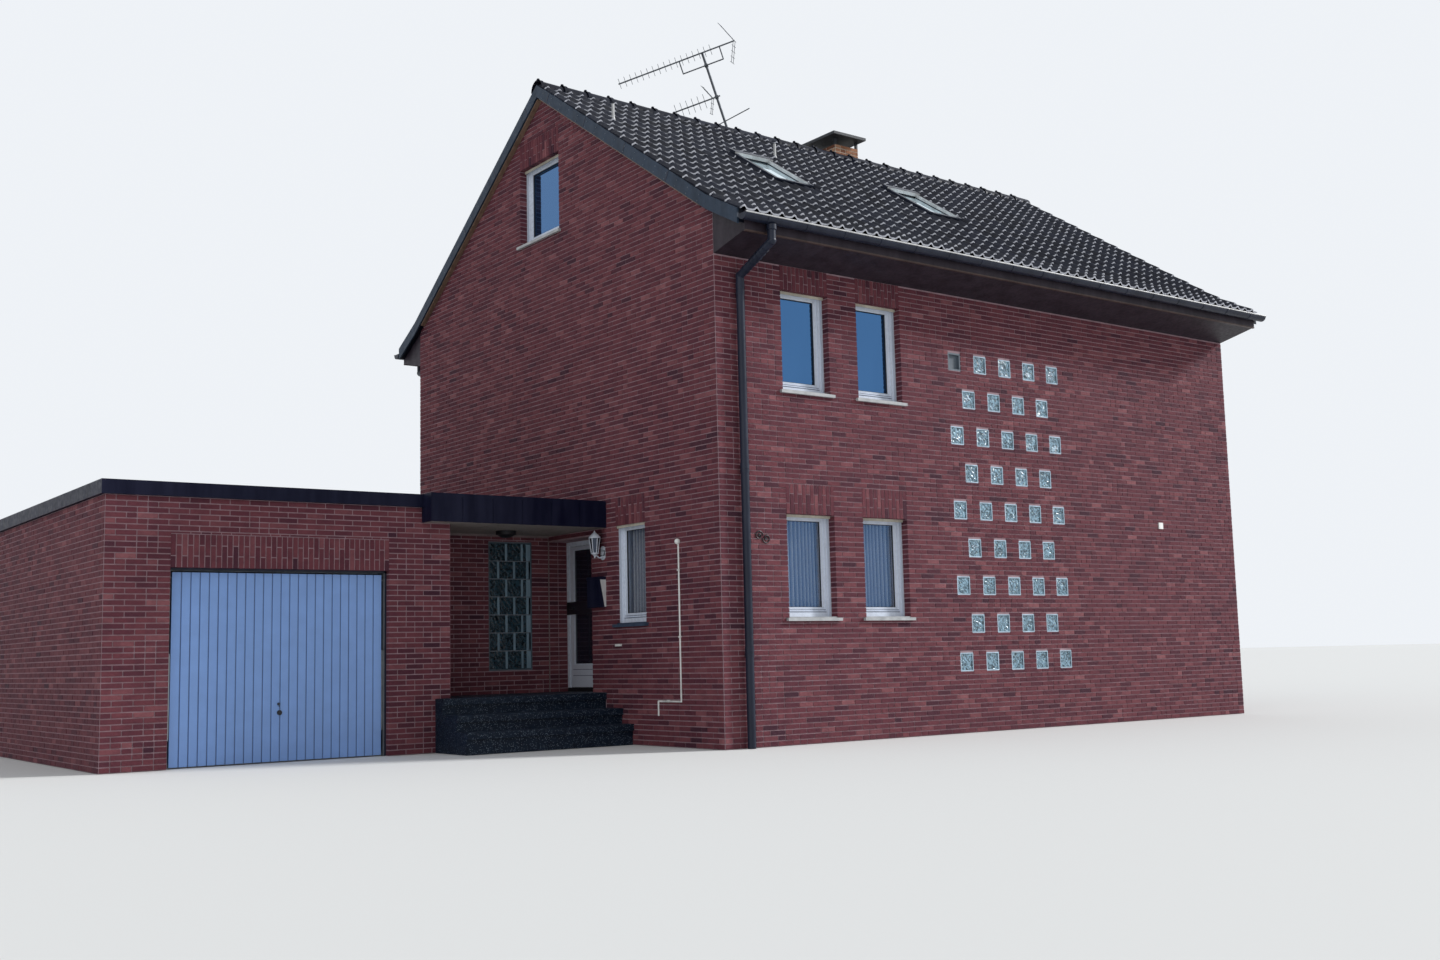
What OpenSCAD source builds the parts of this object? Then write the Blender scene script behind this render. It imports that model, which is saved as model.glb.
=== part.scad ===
// Detached brick house with a porch, a flat-roofed garage and a saddle roof.
// The origin is at ground level, in the middle of the main block.
// Inside the modules, x runs along the street front and y into the depth,
// both from the left front corner of the main block.

/* [Main block] */
// Width of the street front, corner to corner
house_w = 10060; // [9400:10:12000]
// Depth of the main block along the gable
house_d = 7930; // [7600:10:9500]
// Thickness of the outer brick walls
wall_t = 365; // [300:5:420]
// Top of the ground floor above the ground
floor_z = 640; // [500:5:760]
// Rise from one floor to the next
storey_h = 2767; // [2600:1:3000]
// Thickness of the upper floors
slab_t = 200; // [150:10:260]

/* [Roof] */
// Top of the roof covering, plumb above the face of the front wall
eaves_z = 6530; // [6400:10:6900]
// Slope of the roof in degrees
pitch = 34; // [30:0.5:40]
// Flatter slope of the sprocketed eaves in degrees
sprocket_pitch = 28; // [22:0.5:29]
// Thickness of the roof, measured plumb
roof_t = 165; // [130:5:220]
// Reach of the eaves in front of the wall
eaves_out = 600; // [450:10:750]
// Reach of the verge past the gable wall
verge_out = 100; // [70:5:180]
// Thickness of the verge boards
verge_board_t = 25; // [18:1:40]
// How far a verge board hangs below the roof
verge_drop = 15; // [5:1:40]
// Height of the eaves soffit at the wall
soffit_wall_z = 5850; // [5750:10:5950]
// Rise of the eaves soffit from the wall to its edge
soffit_rise = 140; // [100:5:170]
// Thickness of the boards that box in the eaves
eaves_board_t = 22; // [15:1:30]
// Radius of a ridge tile
ridge_r = 125; // [100:5:160]
// Cover length of a ridge tile
ridge_tile_l = 390; // [330:10:450]
// Rise of the collar at the end of a ridge tile
collar_rise = 16; // [8:1:20]
// Length of that collar
collar_l = 60; // [40:5:90]
// Cover width of a roof tile
tile_w = 189; // [180:1:220]
// Width of a tile's roll
roll_w = 95; // [70:1:110]
// Height of a tile's roll above the slope
roll_h = 36; // [20:1:40]
// Room without rolls round the roof windows and the chimney
flashing = 100; // [60:10:140]

/* [Rainwater] */
// Outer radius of the half-round gutter
gutter_r = 76; // [60:2:90]
// Wall of the gutter and the downpipes
gutter_t = 6; // [4:1:10]
// Height of the gutter's rim
gutter_z = 6130; // [6110:5:6160]
// Outer radius of the downpipes
pipe_r = 50; // [38:1:60]
// Distance from the house corner to a downpipe's axis
pipe_x = 330; // [200:10:600]
// Clearance between a downpipe and the wall
pipe_gap = 25; // [15:1:40]

/* [Chimney and roof windows] */
// Distance from the left corner to the chimney
chimney_x = 5560; // [5200:10:7500]
// Width of the chimney stack
chimney_w = 500; // [420:10:600]
// Depth of the chimney stack
chimney_d = 620; // [480:10:740]
// Height of the brick stack above the ridge line
chimney_rise = 226; // [200:2:700]
// Size of the flues
flue = 200; // [140:10:220]
// Gap under the chimney's cover plate
cap_gap = 110; // [80:5:160]
// Thickness of the cover plate
cap_t = 45; // [30:5:70]
// Reach of the cover plate past the stack
cap_out = 165; // [60:5:200]
// Thickness of the legs under the cover plate
cap_leg = 40; // [25:5:60]
// Width of a roof window
roof_window_w = 680; // [550:10:780]
// Level depth that a roof window covers
roof_window_run = 975; // [900:10:1300]
// Level distance from the front wall's face to a roof window
roof_window_y = 1400; // [1000:10:1500]
// Distance from the left corner to the first roof window's middle
roof_window_1 = 2460; // [1500:10:3000]
// Distance from the left corner to the second roof window's middle
roof_window_2 = 5400; // [4800:10:6500]
// Width of the frame bars of a roof window
roof_bar = 60; // [45:5:80]
// How far a roof window stands above the roof
roof_window_rise = 35; // [30:5:80]
// Thickness of the roof window's pane
roof_pane_t = 24; // [12:2:40]

/* [Windows] */
// Width of the front windows
window_w = 770; // [650:10:900]
// Height of the front windows
window_h = 1275; // [1100:5:1350]
// Height of the window sills above their floor
sill_h = 845; // [750:5:950]
// Distance from the corner to the first front window
window_1 = 1000; // [800:10:1150]
// Distance from the corner to the second front window
window_2 = 2240; // [2100:10:2500]
// Width of the narrow window beside the porch
hall_window_w = 675; // [450:5:700]
// Depth of the brick reveal in front of the hall window
hall_reveal = 68; // [50:2:130]
// Distance from the front corner to the hall window
hall_window_y = 1548; // [1300:4:1650]
// Width of the attic windows
attic_window_w = 1090; // [900:10:1250]
// Height of the attic windows
attic_window_h = 1153; // [900:1:1250]
// Distance from the ridge line back to the attic window's middle
attic_window_side = 115; // [0:5:250]
// Height of the attic sill above the attic floor
attic_sill_h = 812; // [700:2:900]
// Depth of the brick reveal in front of a window
reveal = 130; // [80:5:160]
// Face width of a window's outer frame
frame_bar = 62; // [50:1:80]
// Face width of a window's sash
sash_bar = 58; // [45:1:70]
// Depth of the window frames
frame_t = 70; // [56:2:90]
// Thickness of the double glazing
pane_t = 24; // [16:2:36]
// Height of the outer frame's bar that shows under the window head
head_bar = 12; // [8:1:60]
// Thickness of the window sills
sill_t = 30; // [20:2:45]
// Reach of a sill past its window on both sides
sill_side = 45; // [20:5:70]
// Reach of a sill in front of the wall
sill_out = 50; // [25:5:70]
// How far a sill's front edge hangs below the opening
sill_drop = 22; // [10:1:40]

/* [Glass blocks] */
// Edge of a glass block
block = 230; // [190:5:240]
// Thickness of a glass block
block_t = 80; // [60:5:100]
// Width of the mortar bed round a block in the front wall
block_bed = 6; // [4:1:10]
// Distance from the corner to the first column's middle
block_x = 3996; // [3700:4:4400]
// Height of the top row's middle
block_z = 4916; // [4700:4:5100]
// Step from column to column
block_step_x = 490; // [440:5:560]
// Step from row to row
block_step_z = 500; // [440:5:520]
// Rows of glass blocks
block_rows = 9; // [5:1:9]
// Columns in the longer rows
block_cols = 5; // [3:1:7]
// Width of the porch's glass wall
porch_glass_w = 665; // [560:5:760]
// Step of the blocks in the porch's glass wall
porch_block_step = 240; // [220:5:250]
// Rows in the porch's glass wall
porch_block_rows = 7; // [4:1:7]
// Height of the porch's glass wall above the landing
porch_glass_z = 305; // [200:5:360]
// Distance from the gable to the porch's glass wall
porch_glass_x = 265; // [200:5:420]
// Bars of the frame round the porch's glass wall
porch_bar = 20; // [12:1:35]

/* [Garage and porch] */
// Distance from the street front back to the garage front
garage_y = 2700; // [2500:10:2900]
// Distance from the gable to the garage's far side
garage_x = 6140; // [5900:10:6800]
// How far the garage reaches back past the main block
annex_out = 770; // [500:10:1500]
// Thickness of the garage walls
garage_wall_t = 240; // [200:5:260]
// Height of the garage walls
garage_h = 2940; // [2850:10:3050]
// Thickness of the flat roof
flat_roof_t = 130; // [110:5:150]
// Height of the edge board round the flat roof
edge_h = 156; // [145:1:180]
// Thickness of the edge board
edge_t = 50; // [30:5:70]
// Width of the porch between the garage and the gable
porch_w = 2105; // [1900:5:2300]
// Distance from the street front to the porch's back wall
porch_back = 3930; // [3800:10:4100]
// Near side of the doorway in the gable
doorway_y = 2815; // [2750:5:2900]
// Height of the doorway's head above the landing
doorway_h = 2035; // [2000:5:2080]
// Underside of the canopy
canopy_z = 2755; // [2750:5:2800]
// Top of the canopy's fascia
canopy_top = 3100; // [3080:5:3160]
// How far the canopy stands in front of the garage
canopy_out = 260; // [200:5:320]
// How far the canopy's fascia runs on over the garage wall
canopy_side = 375; // [250:5:500]
// Thickness of the canopy's fascia panels
canopy_board_t = 24; // [15:1:35]
// Panels along the canopy's fascia
canopy_panels = 6; // [4:1:9]
// Thickness of the canopy's soffit boards
canopy_soffit_t = 22; // [15:1:30]
// Thickness of the garage floor
garage_floor_t = 60; // [40:5:90]

/* [Steps] */
// Depth of the upper step
step_1 = 380; // [300:5:420]
// Depth of the lower step
step_2 = 240; // [200:5:340]
// How far the landing stands in front of the garage
landing_out = 210; // [180:5:300]
// How far the steps run on past the porch's side wall
step_side = 200; // [100:5:260]
// Overhang of each tread over its riser
nosing = 30; // [15:5:45]
// Thickness of the treads
tread_t = 80; // [60:5:110]

/* [Front door] */
// Depth of the doorway in front of the door frame
door_reveal = 290; // [200:5:295]
// Bars of the door frame
door_bar = 62; // [50:1:75]
// Thickness of the door leaf
leaf_t = 54; // [44:1:60]
// Running clearance round the door leaf
leaf_gap = 7; // [6:1:10]
// Height of the sill under the door
door_sill_h = 50; // [25:1:60]
// Face width of the door leaf's stiles
stile = 105; // [80:5:130]
// Height of the lower panel
door_panel_h = 316; // [180:2:360]
// Height of the dark bar's middle above the leaf's foot
bar_z = 1070; // [950:5:1200]
// Height of the dark bar
bar_h = 170; // [80:5:190]

/* [Garage door] */
// Width of the garage doorway
garage_open_w = 2550; // [2300:10:2600]
// Height of the garage doorway
garage_open_h = 2170; // [2080:5:2250]
// Width of the brick pier between the doorway and the porch
garage_pier = 795; // [700:5:900]
// Distance from the wall's face back to the door's face
garage_reveal = 100; // [60:5:120]
// Thickness of the steel door's frame
garage_leaf_t = 40; // [30:2:50]
// Thickness of the steel skin
garage_skin_t = 6; // [4:1:8]
// Depth of a rib in the skin
rib_d = 10; // [6:1:14]
// Ribs across the door
rib_count = 24; // [16:1:30]
// Width of a rib's groove
rib_w = 16; // [10:1:24]
// Width of the steel posts and tracks
track_w = 30; // [28:1:34]
// Sheet thickness of the tracks
track_t = 3; // [2:0.5:4]
// Thickness of the lever arms
arm_t = 10; // [8:1:12]
// Running clearance between the moving steel pieces
steel_gap = 7.5; // [6:0.5:8]
// Height of the rollers' axis
roller_z = 2060; // [2030:5:2070]
// Radius of the rollers
roller_r = 20; // [16:1:22]
// Way of the rollers along the tracks
door_travel = 1400; // [1300:5:1500]
// Height of the lever arms' pivots
arm_pivot_z = 1220; // [1150:5:1260]
// Clear gap under the closed door
door_foot = 12; // [8:1:20]

/* [Fittings] */
// Height of the porch lantern's top
lantern_z = 2725; // [2600:5:2740]
// Reach of the lantern's axis in front of the wall
lantern_out = 135; // [120:5:200]
// Radius of the lantern's glass body at its top
lantern_r = 70; // [55:1:80]
// Height of the lantern's glass body
lantern_h = 200; // [150:5:220]
// Distance from the doorway's edge to the lantern's axis
lantern_side = 290; // [80:5:290]
// Height of the letterbox's top
letterbox_z = 2120; // [1700:10:2120]
// Height of the letterbox
letterbox_h = 390; // [300:10:420]
// Width of the letterbox
letterbox_w = 310; // [250:10:330]
// Depth of the letterbox
letterbox_d = 100; // [80:5:130]
// Radius of the conduit on the gable
conduit_r = 11; // [8:1:16]
// Distance from the front corner to the conduit's upright run
conduit_y = 831; // [600:1:1000]
// Height of the conduit's top
conduit_top = 2451; // [2000:1:2600]
// Height of the conduit's level run
conduit_low = 540; // [450:5:700]
// Length of the conduit's level run
conduit_run = 482; // [300:2:600]
// Height of the conduit's lower end
conduit_foot = 365; // [250:5:420]

/* [Aerials] */
// Distance from the left corner to the mast's foot
mast_x = 3300; // [3000:2:3800]
// Length of the mast above the roof
mast_l = 1180; // [1100:10:1400]
// Radius of the mast
mast_r = 20; // [16:1:26]
// How far the mast leans to the left, in degrees
mast_lean = 22; // [0:1:25]
// Heading of the aerials round the mast, in degrees
aerial_heading = 132; // [100:1:160]
// Length of the upper boom
boom_l = 1940; // [1700:10:2200]
// Height of the upper boom on the mast
boom_z = 1185; // [1100:5:1300]
// Length of the lower boom in front of the mast
lower_front = 690; // [500:10:800]
// Distance from the upper boom's tip to its front leg
leg_1_back = 1020; // [900:10:1200]
// Distance from the upper boom's tip to its rear leg
leg_2_back = 1685; // [1500:5:1800]
// Width of the boom tubes
boom_w = 20; // [14:1:26]
// Director rods on the upper boom
directors = 17; // [10:1:20]
// Length of a director rod
director_l = 160; // [120:5:220]
// Radius of the rods
rod_r = 4; // [3:0.5:6]
// Length of the dipole at the mast's foot
dipole_l = 980; // [800:10:1200]
// Length of the dipole behind the mast
dipole_back = 270; // [100:10:400]
// Heading of the dipole round the mast, in degrees
dipole_heading = -96; // [-120:1:-80]

/* [Hidden] */

brick = "#7a3b38";
brick_lit = "#8a4743";
slate = "#3a434e";
tile = "#33343b";
concrete = "#b9b6ae";
white = "#eceef2";
steel = "#8d9299";
dark = "#1f2432";
clear_glass = [0.55, 0.7, 0.85, 0.5];
block_glass = [0.45, 0.66, 0.72, 0.7];
timber = "#a2815f";

eps = 1;
seat = 0.3;
ridge_y = house_d / 2;
upper_z = floor_z + storey_h;
attic_z = upper_z + storey_h;
ridge_z = eaves_z + ridge_y * tan(pitch);
chimney_side = 10;
chimney_y = ridge_y + chimney_side;
edge_z = eaves_z - eaves_out * tan(sprocket_pitch);
chimney_top = ridge_z + chimney_rise;
attic_window_y = ridge_y + attic_window_side;
annex_back = house_d + annex_out;
soffit_edge_z = soffit_wall_z + soffit_rise;
doorway_top = floor_z + doorway_h;
pane_in = (frame_t - pane_t) / 2;

bed_gap = 0.02;

// Height of the walls' tops under the roof, for a distance in from the front or the back
function under_z(y) = eaves_z - roof_t - bed_gap + min(y, house_d - y) * tan(pitch);

// Places a child whose x and y are measured from the left front corner
module from_corner() {
    translate([-house_w / 2, -house_d / 2, 0]) children();
}

// Box from its low corner to its high corner
module span(low, high) {
    translate(low) cube(high - low);
}

// Prism with its outline in y and z, from x0 to x1
module prism_x(points, x0, x1) {
    translate([x0, 0, 0]) rotate([90, 0, 90]) linear_extrude(x1 - x0) polygon(points);
}

// The same child on the front half and, mirrored, on the rear half
module front_and_rear() {
    children();
    translate([0, house_d, 0]) mirror([0, 1, 0]) children();
}

// Windows in the front and rear walls, as [from the left, sill height, width, height]
front_openings = [for (x = [window_1, window_2], z = [floor_z, upper_z])
    [x, z + sill_h, window_w, window_h]];
rear_openings = [for (x = [window_1, window_2, house_w - window_1 - window_w,
    house_w - window_2 - window_w], z = [floor_z, upper_z]) [x, z + sill_h, window_w, window_h]];
attic_opening = [attic_window_y - attic_window_w / 2, attic_z + attic_sill_h,
    attic_window_w, attic_window_h];
hall_opening = [hall_window_y, floor_z + sill_h, hall_window_w, window_h, hall_reveal];
right_openings = concat([attic_opening], [for (z = [floor_z, upper_z])
    [house_d - attic_window_y - window_w / 2, z + sill_h, window_w, window_h]]);

// Puts a child drawn for the front wall, outer face at y = 0, into every window
module in_each_window() {
    for (o = front_openings) translate([o[0], 0, o[1]]) opening_child(o) children();
    for (o = rear_openings) translate([o[0] + o[2], house_d, o[1]]) rotate([0, 0, 180])
        opening_child(o) children();
    for (o = [attic_opening, hall_opening]) translate([0, o[0] + o[2], o[1]]) rotate([0, 0, -90])
        opening_child(o) children();
    for (o = right_openings) translate([house_w, o[0], o[1]]) rotate([0, 0, 90])
        opening_child(o) children();
}

// Hands the size of a window on to its child, and the depth of its reveal
module opening_child(o) {
    $w = o[2];
    $h = o[3];
    $reveal = len(o) > 4 ? o[4] : reveal;
    children();
}

// Cutter for one window, right through a wall
module window_hole() {
    span([0, -eps, 0], [$w, wall_t + eps, $h]);
}

// Places of the glass blocks in the front wall: longer and shorter rows take turns
block_places = [for (row = [0:block_rows - 1], col = [0:block_cols - 1 - row % 2])
    [block_x + (col + row % 2 / 2) * block_step_x, block_z - row * block_step_z]];

// Floors and walls of the main block

module ground_floor() {
    color(concrete) from_corner()
        span([wall_t, wall_t, 0], [house_w - wall_t, house_d - wall_t, floor_z]);
}

module upper_floors() {
    color(concrete) from_corner() for (z = [upper_z, attic_z])
        span([wall_t, wall_t, z - slab_t], [house_w - wall_t, house_d - wall_t, z]);
}

wall_section = [[0, 0], [wall_t, 0], [wall_t, under_z(wall_t)], [0, under_z(0)]];

module front_wall() {
    color(brick) from_corner() difference() {
        prism_x(wall_section, wall_t, house_w - wall_t);
        for (o = front_openings) translate([o[0], 0, o[1]]) opening_child(o) window_hole();
        for (p = block_places) translate([p[0], 0, p[1]])
            cube([block + 2 * block_bed, 3 * wall_t, block + 2 * block_bed], center = true);
    }
}

module rear_wall() {
    color(brick) from_corner() difference() {
        translate([0, house_d, 0]) mirror([0, 1, 0]) prism_x(wall_section, wall_t, house_w - wall_t);
        for (o = rear_openings) translate([o[0], house_d - wall_t, o[1]]) opening_child(o)
            window_hole();
    }
}

gable_section = [[0, 0], [house_d, 0], [house_d, under_z(house_d)],
    [ridge_y, under_z(ridge_y)], [0, under_z(0)]];

// Cuts windows that lie in a gable wall whose near face is at x = x0
module gable_windows(openings, x0) {
    for (o = openings) span([x0 - eps, o[0], o[1]], [x0 + wall_t + eps, o[0] + o[2], o[1] + o[3]]);
}

module right_gable_wall() {
    color(brick) from_corner() difference() {
        prism_x(gable_section, house_w - wall_t, house_w);
        gable_windows(right_openings, house_w - wall_t);
    }
}

module left_gable_front() {
    color(brick) from_corner() difference() {
        span([0, 0, 0], [wall_t, doorway_y, upper_z]);
        gable_windows([hall_opening], 0);
    }
}

module left_gable_rear() {
    color(brick) from_corner() span([0, porch_back, 0], [wall_t, house_d, upper_z]);
}

module door_lintel() {
    color(brick) from_corner() span([0, doorway_y, doorway_top], [wall_t, porch_back, upper_z]);
}

module left_gable_upper() {
    color(brick) from_corner() difference() {
        prism_x(gable_section, 0, wall_t);
        span([-eps, -eps, -eps], [wall_t + eps, house_d + eps, upper_z]);
        gable_windows([attic_opening], 0);
    }
}

// Walls and floor of the garage and the porch

garage_door_x1 = -porch_w - garage_pier;
garage_door_x0 = garage_door_x1 - garage_open_w;
pier_back = garage_y + garage_wall_t;

module garage_piers() {
    color(brick) from_corner() {
        span([-garage_x, garage_y, 0], [garage_door_x0, pier_back, garage_h]);
        span([garage_door_x1, garage_y, 0], [-porch_w, pier_back, garage_h]);
    }
}

module garage_lintel() {
    color(brick) from_corner()
        span([garage_door_x0, garage_y, garage_open_h], [garage_door_x1, pier_back, garage_h]);
}

module garage_side_wall() {
    color(brick_lit) from_corner()
        span([-garage_x, pier_back, 0], [-garage_x + garage_wall_t, annex_back, garage_h]);
}

module garage_rear_wall() {
    color(brick) from_corner() {
        span([-garage_x + garage_wall_t, annex_back - garage_wall_t, 0], [0, annex_back, garage_h]);
        span([-garage_wall_t, house_d, 0], [0, annex_back - garage_wall_t + eps, garage_h]);
    }
}

module porch_side_wall() {
    color(brick) from_corner()
        span([-porch_w - garage_wall_t, pier_back, 0], [-porch_w, porch_back, garage_h]);
}

glass_wall_x1 = -porch_glass_x;
glass_wall_x0 = glass_wall_x1 - porch_glass_w;
glass_wall_z0 = floor_z + porch_glass_z;
glass_wall_z1 = glass_wall_z0 + porch_block_rows * porch_block_step + 2 * porch_bar;

module porch_back_wall() {
    color(brick) from_corner() difference() {
        span([-porch_w - garage_wall_t, porch_back, 0], [0, porch_back + garage_wall_t, garage_h]);
        span([glass_wall_x0, porch_back - eps, glass_wall_z0],
            [glass_wall_x1, porch_back + garage_wall_t + eps, glass_wall_z1]);
    }
}

leaf_face_y = garage_y + garage_reveal;
leaf_back_y = leaf_face_y + garage_leaf_t;
floor_front_y = leaf_back_y + steel_gap;

module garage_floor() {
    inner_x0 = -garage_x + garage_wall_t;
    inner_y1 = annex_back - garage_wall_t;
    color(concrete) from_corner() {
        span([garage_door_x0 + track_w, floor_front_y, 0],
            [garage_door_x1 - track_w, pier_back + eps, garage_floor_t]);
        span([inner_x0, pier_back, 0], [-porch_w - garage_wall_t, inner_y1, garage_floor_t]);
        span([-porch_w - garage_wall_t - eps, porch_back + garage_wall_t, 0],
            [0, house_d, garage_floor_t]);
        span([-porch_w - garage_wall_t - eps, house_d - eps, 0],
            [-garage_wall_t, inner_y1, garage_floor_t]);
    }
}

// Saddle roof

front_slope = [[ridge_y, ridge_z], [0, eaves_z], [-eaves_out, edge_z],
    [-eaves_out, edge_z - roof_t], [0, eaves_z - roof_t], [ridge_y, ridge_z - roof_t]];
slope_x0 = -verge_out + verge_board_t;
slope_x1 = house_w + verge_out - verge_board_t;

tile_count = round((slope_x1 - slope_x0) / tile_w);
tile_step = (slope_x1 - slope_x0) / tile_count;
roll_stop = 20;
roll_end = ridge_y - ridge_r - 2 * collar_rise;
roll_foot = 0.1 * roll_w;
roll_flank = 0.4 * roll_w;

// Outline of the rolls across a slope, sunk into it between one roll and the next
roll_outline = concat([for (i = [0:tile_count - 1]) each
    [[i * tile_step + roll_foot, -eps], [i * tile_step + roll_flank, roll_h],
    [i * tile_step + roll_w - roll_flank, roll_h], [i * tile_step + roll_w - roll_foot, -eps]]],
    [[tile_count * tile_step - roll_stop, -3 * eps], [roll_stop / 4, -3 * eps]]);

// Rolls on a slope of a given pitch, between two level distances from the wall's face
module rolls(slope, y0, y1) {
    past = 4 * roll_h;
    l = (y1 - y0) / cos(slope) + 2 * past;
    intersection() {
        translate([slope_x0, 0, eaves_z]) rotate([slope, 0, 0])
            translate([0, y1 / cos(slope) + past, 0]) rotate([90, 0, 0])
                linear_extrude(l) polygon(roll_outline);
        span([slope_x0 - eps, y0, 0], [slope_x1 + eps, y1, 2 * ridge_z]);
    }
}

module slope_rolls() {
    rolls(pitch, roll_stop, roll_end);
    rolls(sprocket_pitch, roll_stop - eaves_out, -roll_stop);
}

// Opening in the front slope for the roof window whose middle is at x
module roof_window_cut(x, margin) {
    span([x - roof_window_w / 2 - margin, roof_window_y - margin, 0],
        [x + roof_window_w / 2 + margin, roof_window_y + roof_window_run + margin, 2 * ridge_z]);
}

module front_roof() {
    color(tile) from_corner() difference() {
        union() {
            prism_x(front_slope, slope_x0, slope_x1);
            difference() {
                slope_rolls();
                for (x = [roof_window_1, roof_window_2]) roof_window_cut(x, flashing);
            }
        }
        for (x = [roof_window_1, roof_window_2]) roof_window_cut(x, 0);
    }
}

module rear_roof() {
    color(tile) from_corner() difference() {
        union() {
            translate([house_w, house_d, 0]) rotate([0, 0, 180])
                prism_x(front_slope, slope_x0, slope_x1);
            difference() {
                translate([house_w, house_d, 0]) rotate([0, 0, 180]) slope_rolls();
                chimney_hole(flashing);
            }
        }
        chimney_hole(0);
    }
}

// Half-moon of radius r that lies on both slopes, lifted off them a little
module ridge_profile(r, lift) {
    top = ridge_z + lift;
    difference() {
        translate([ridge_y, ridge_z - ridge_r / 2]) circle(r, $fn = 32);
        polygon([[ridge_y, top], [ridge_y - 2 * r, top - 2 * r * tan(pitch)],
            [ridge_y - 2 * r, top - 4 * r], [ridge_y + 2 * r, top - 4 * r],
            [ridge_y + 2 * r, top - 2 * r * tan(pitch)]]);
    }
}

module ridge_tiles() {
    ridge_l = house_w + 2 * verge_out;
    count = floor(ridge_l / ridge_tile_l);
    color(tile) from_corner() difference() {
        translate([-verge_out, 0, 0]) {
            translate([eps, 0, 0]) rotate([90, 0, 90]) linear_extrude(ridge_l - eps)
                ridge_profile(ridge_r, eps);
            for (i = [0:count - 1]) translate([i * ridge_tile_l, 0, 0]) rotate([90, 0, 90])
                linear_extrude(collar_l) ridge_profile(ridge_r + collar_rise, seat / 2);
        }
        chimney_hole(seat);
        // Socket of the aerial mast
        on_mast() translate([0, 0, -mast_seat]) cylinder(mast_l, mast_r + seat, mast_r + seat,
            $fn = 24);
    }
}

verge_h = roof_t + verge_drop;

// Verge board of one slope, a little past the ridge line at its top
verge_section = [[ridge_y, ridge_z], [0, eaves_z], [-eaves_out, edge_z],
    [-eaves_out, edge_z - verge_h], [0, eaves_z - verge_h], [ridge_y, ridge_z - verge_h],
    [ridge_y + eps, ridge_z - verge_h], [ridge_y + eps, ridge_z - eps]];

module verge_boards() {
    color(slate) from_corner() for (x = [-verge_out, house_w + verge_out - verge_board_t])
        front_and_rear() prism_x(verge_section, x, x + verge_board_t);
}

fascia_y = -eaves_out - eaves_board_t;

module eaves_boxes() {
    room = [[0, soffit_wall_z], [-eaves_out, soffit_edge_z], [-eaves_out, edge_z - roof_t],
        [0, eaves_z - roof_t]];
    color(slate) from_corner() front_and_rear() {
        // Soffit and fascia
        prism_x([[0, soffit_wall_z], [0, soffit_wall_z - eaves_board_t],
            [fascia_y, soffit_edge_z - eaves_board_t], [fascia_y, edge_z - gutter_t],
            [-eaves_out, edge_z - gutter_t], [-eaves_out, soffit_edge_z]], 0, house_w);
        // End boards in line with the gable walls
        for (x = [0, house_w - eaves_board_t]) prism_x(room, x, x + eaves_board_t);
    }
}

// Rainwater

gutter_y = fascia_y - gutter_r;

module gutters() {
    gutter_l = house_w + 2 * verge_out;
    color(slate) from_corner() front_and_rear()
        translate([-verge_out, gutter_y, gutter_z]) rotate([90, 0, 90]) difference() {
            linear_extrude(gutter_l) difference() {
                circle(gutter_r, $fn = 32);
                translate([-gutter_r * 2, 0]) square(gutter_r * 4);
            }
            // Trough between the end caps
            translate([0, 0, gutter_t]) linear_extrude(gutter_l - 2 * gutter_t)
                circle(gutter_r - gutter_t, $fn = 32);
        }
}

outlet_z = gutter_z - gutter_r;
swan_top = 5860;
clips = 3;
clip_h = 35;
clip_drop = 220;
clip_step = 2150;
pipe_y = -pipe_gap - pipe_r;
swan_fall = 0.45;
swan_end = swan_top - (pipe_y - gutter_y) * swan_fall;
socket_t = 4;

// Round pipe between two points
module pipe(a, b, r) {
    d = b - a;
    l = norm(d);
    translate(a) rotate([0, acos(d[2] / l), atan2(d[1], d[0])]) cylinder(l, r, r, $fn = 24);
}

module downpipes() {
    socket = pipe_r + socket_t;
    outlet = [pipe_x, gutter_y, outlet_z - seat];
    bend_1 = [pipe_x, gutter_y, swan_top];
    bend_2 = [pipe_x, pipe_y, swan_end];
    color(slate) from_corner() front_and_rear() {
        pipe(outlet, bend_1, pipe_r);
        translate(bend_1) sphere(socket, $fn = 24);
        pipe(bend_1, bend_2, pipe_r);
        translate(bend_2) sphere(socket, $fn = 24);
        pipe(bend_2, [pipe_x, pipe_y, 0], pipe_r);
        // Clips that hold the pipe to the wall
        for (i = [0:clips - 1]) translate([pipe_x, pipe_y, swan_end - clip_drop - i * clip_step]) {
            cylinder(clip_h, socket, socket, $fn = 24);
            translate([-clip_h / 2, 0, 0]) cube([clip_h, -pipe_y, clip_h]);
        }
    }
}

// Flat roof and canopy

canopy_x0 = -porch_w - canopy_side;
canopy_y0 = garage_y - canopy_out;
edge_x0 = -garage_x - edge_t;
edge_y0 = garage_y - edge_t;
edge_y1 = annex_back + edge_t;

module flat_roof_edge() {
    color(slate) from_corner() translate([0, 0, garage_h]) {
        span([edge_x0, edge_y0, 0], [canopy_x0, garage_y, edge_h]);
        span([edge_x0, edge_y0, 0], [-garage_x, edge_y1, edge_h]);
        span([edge_x0, annex_back, 0], [0, edge_y1, edge_h]);
    }
}

module flat_roof() {
    inner_x0 = canopy_x0 + canopy_board_t;
    inner_y0 = canopy_y0 + canopy_board_t;
    color(tile) from_corner() translate([0, 0, garage_h]) linear_extrude(flat_roof_t)
        polygon([[-garage_x, garage_y], [inner_x0, garage_y], [inner_x0, inner_y0], [0, inner_y0],
            [0, annex_back], [-garage_x, annex_back]]);
}

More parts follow.
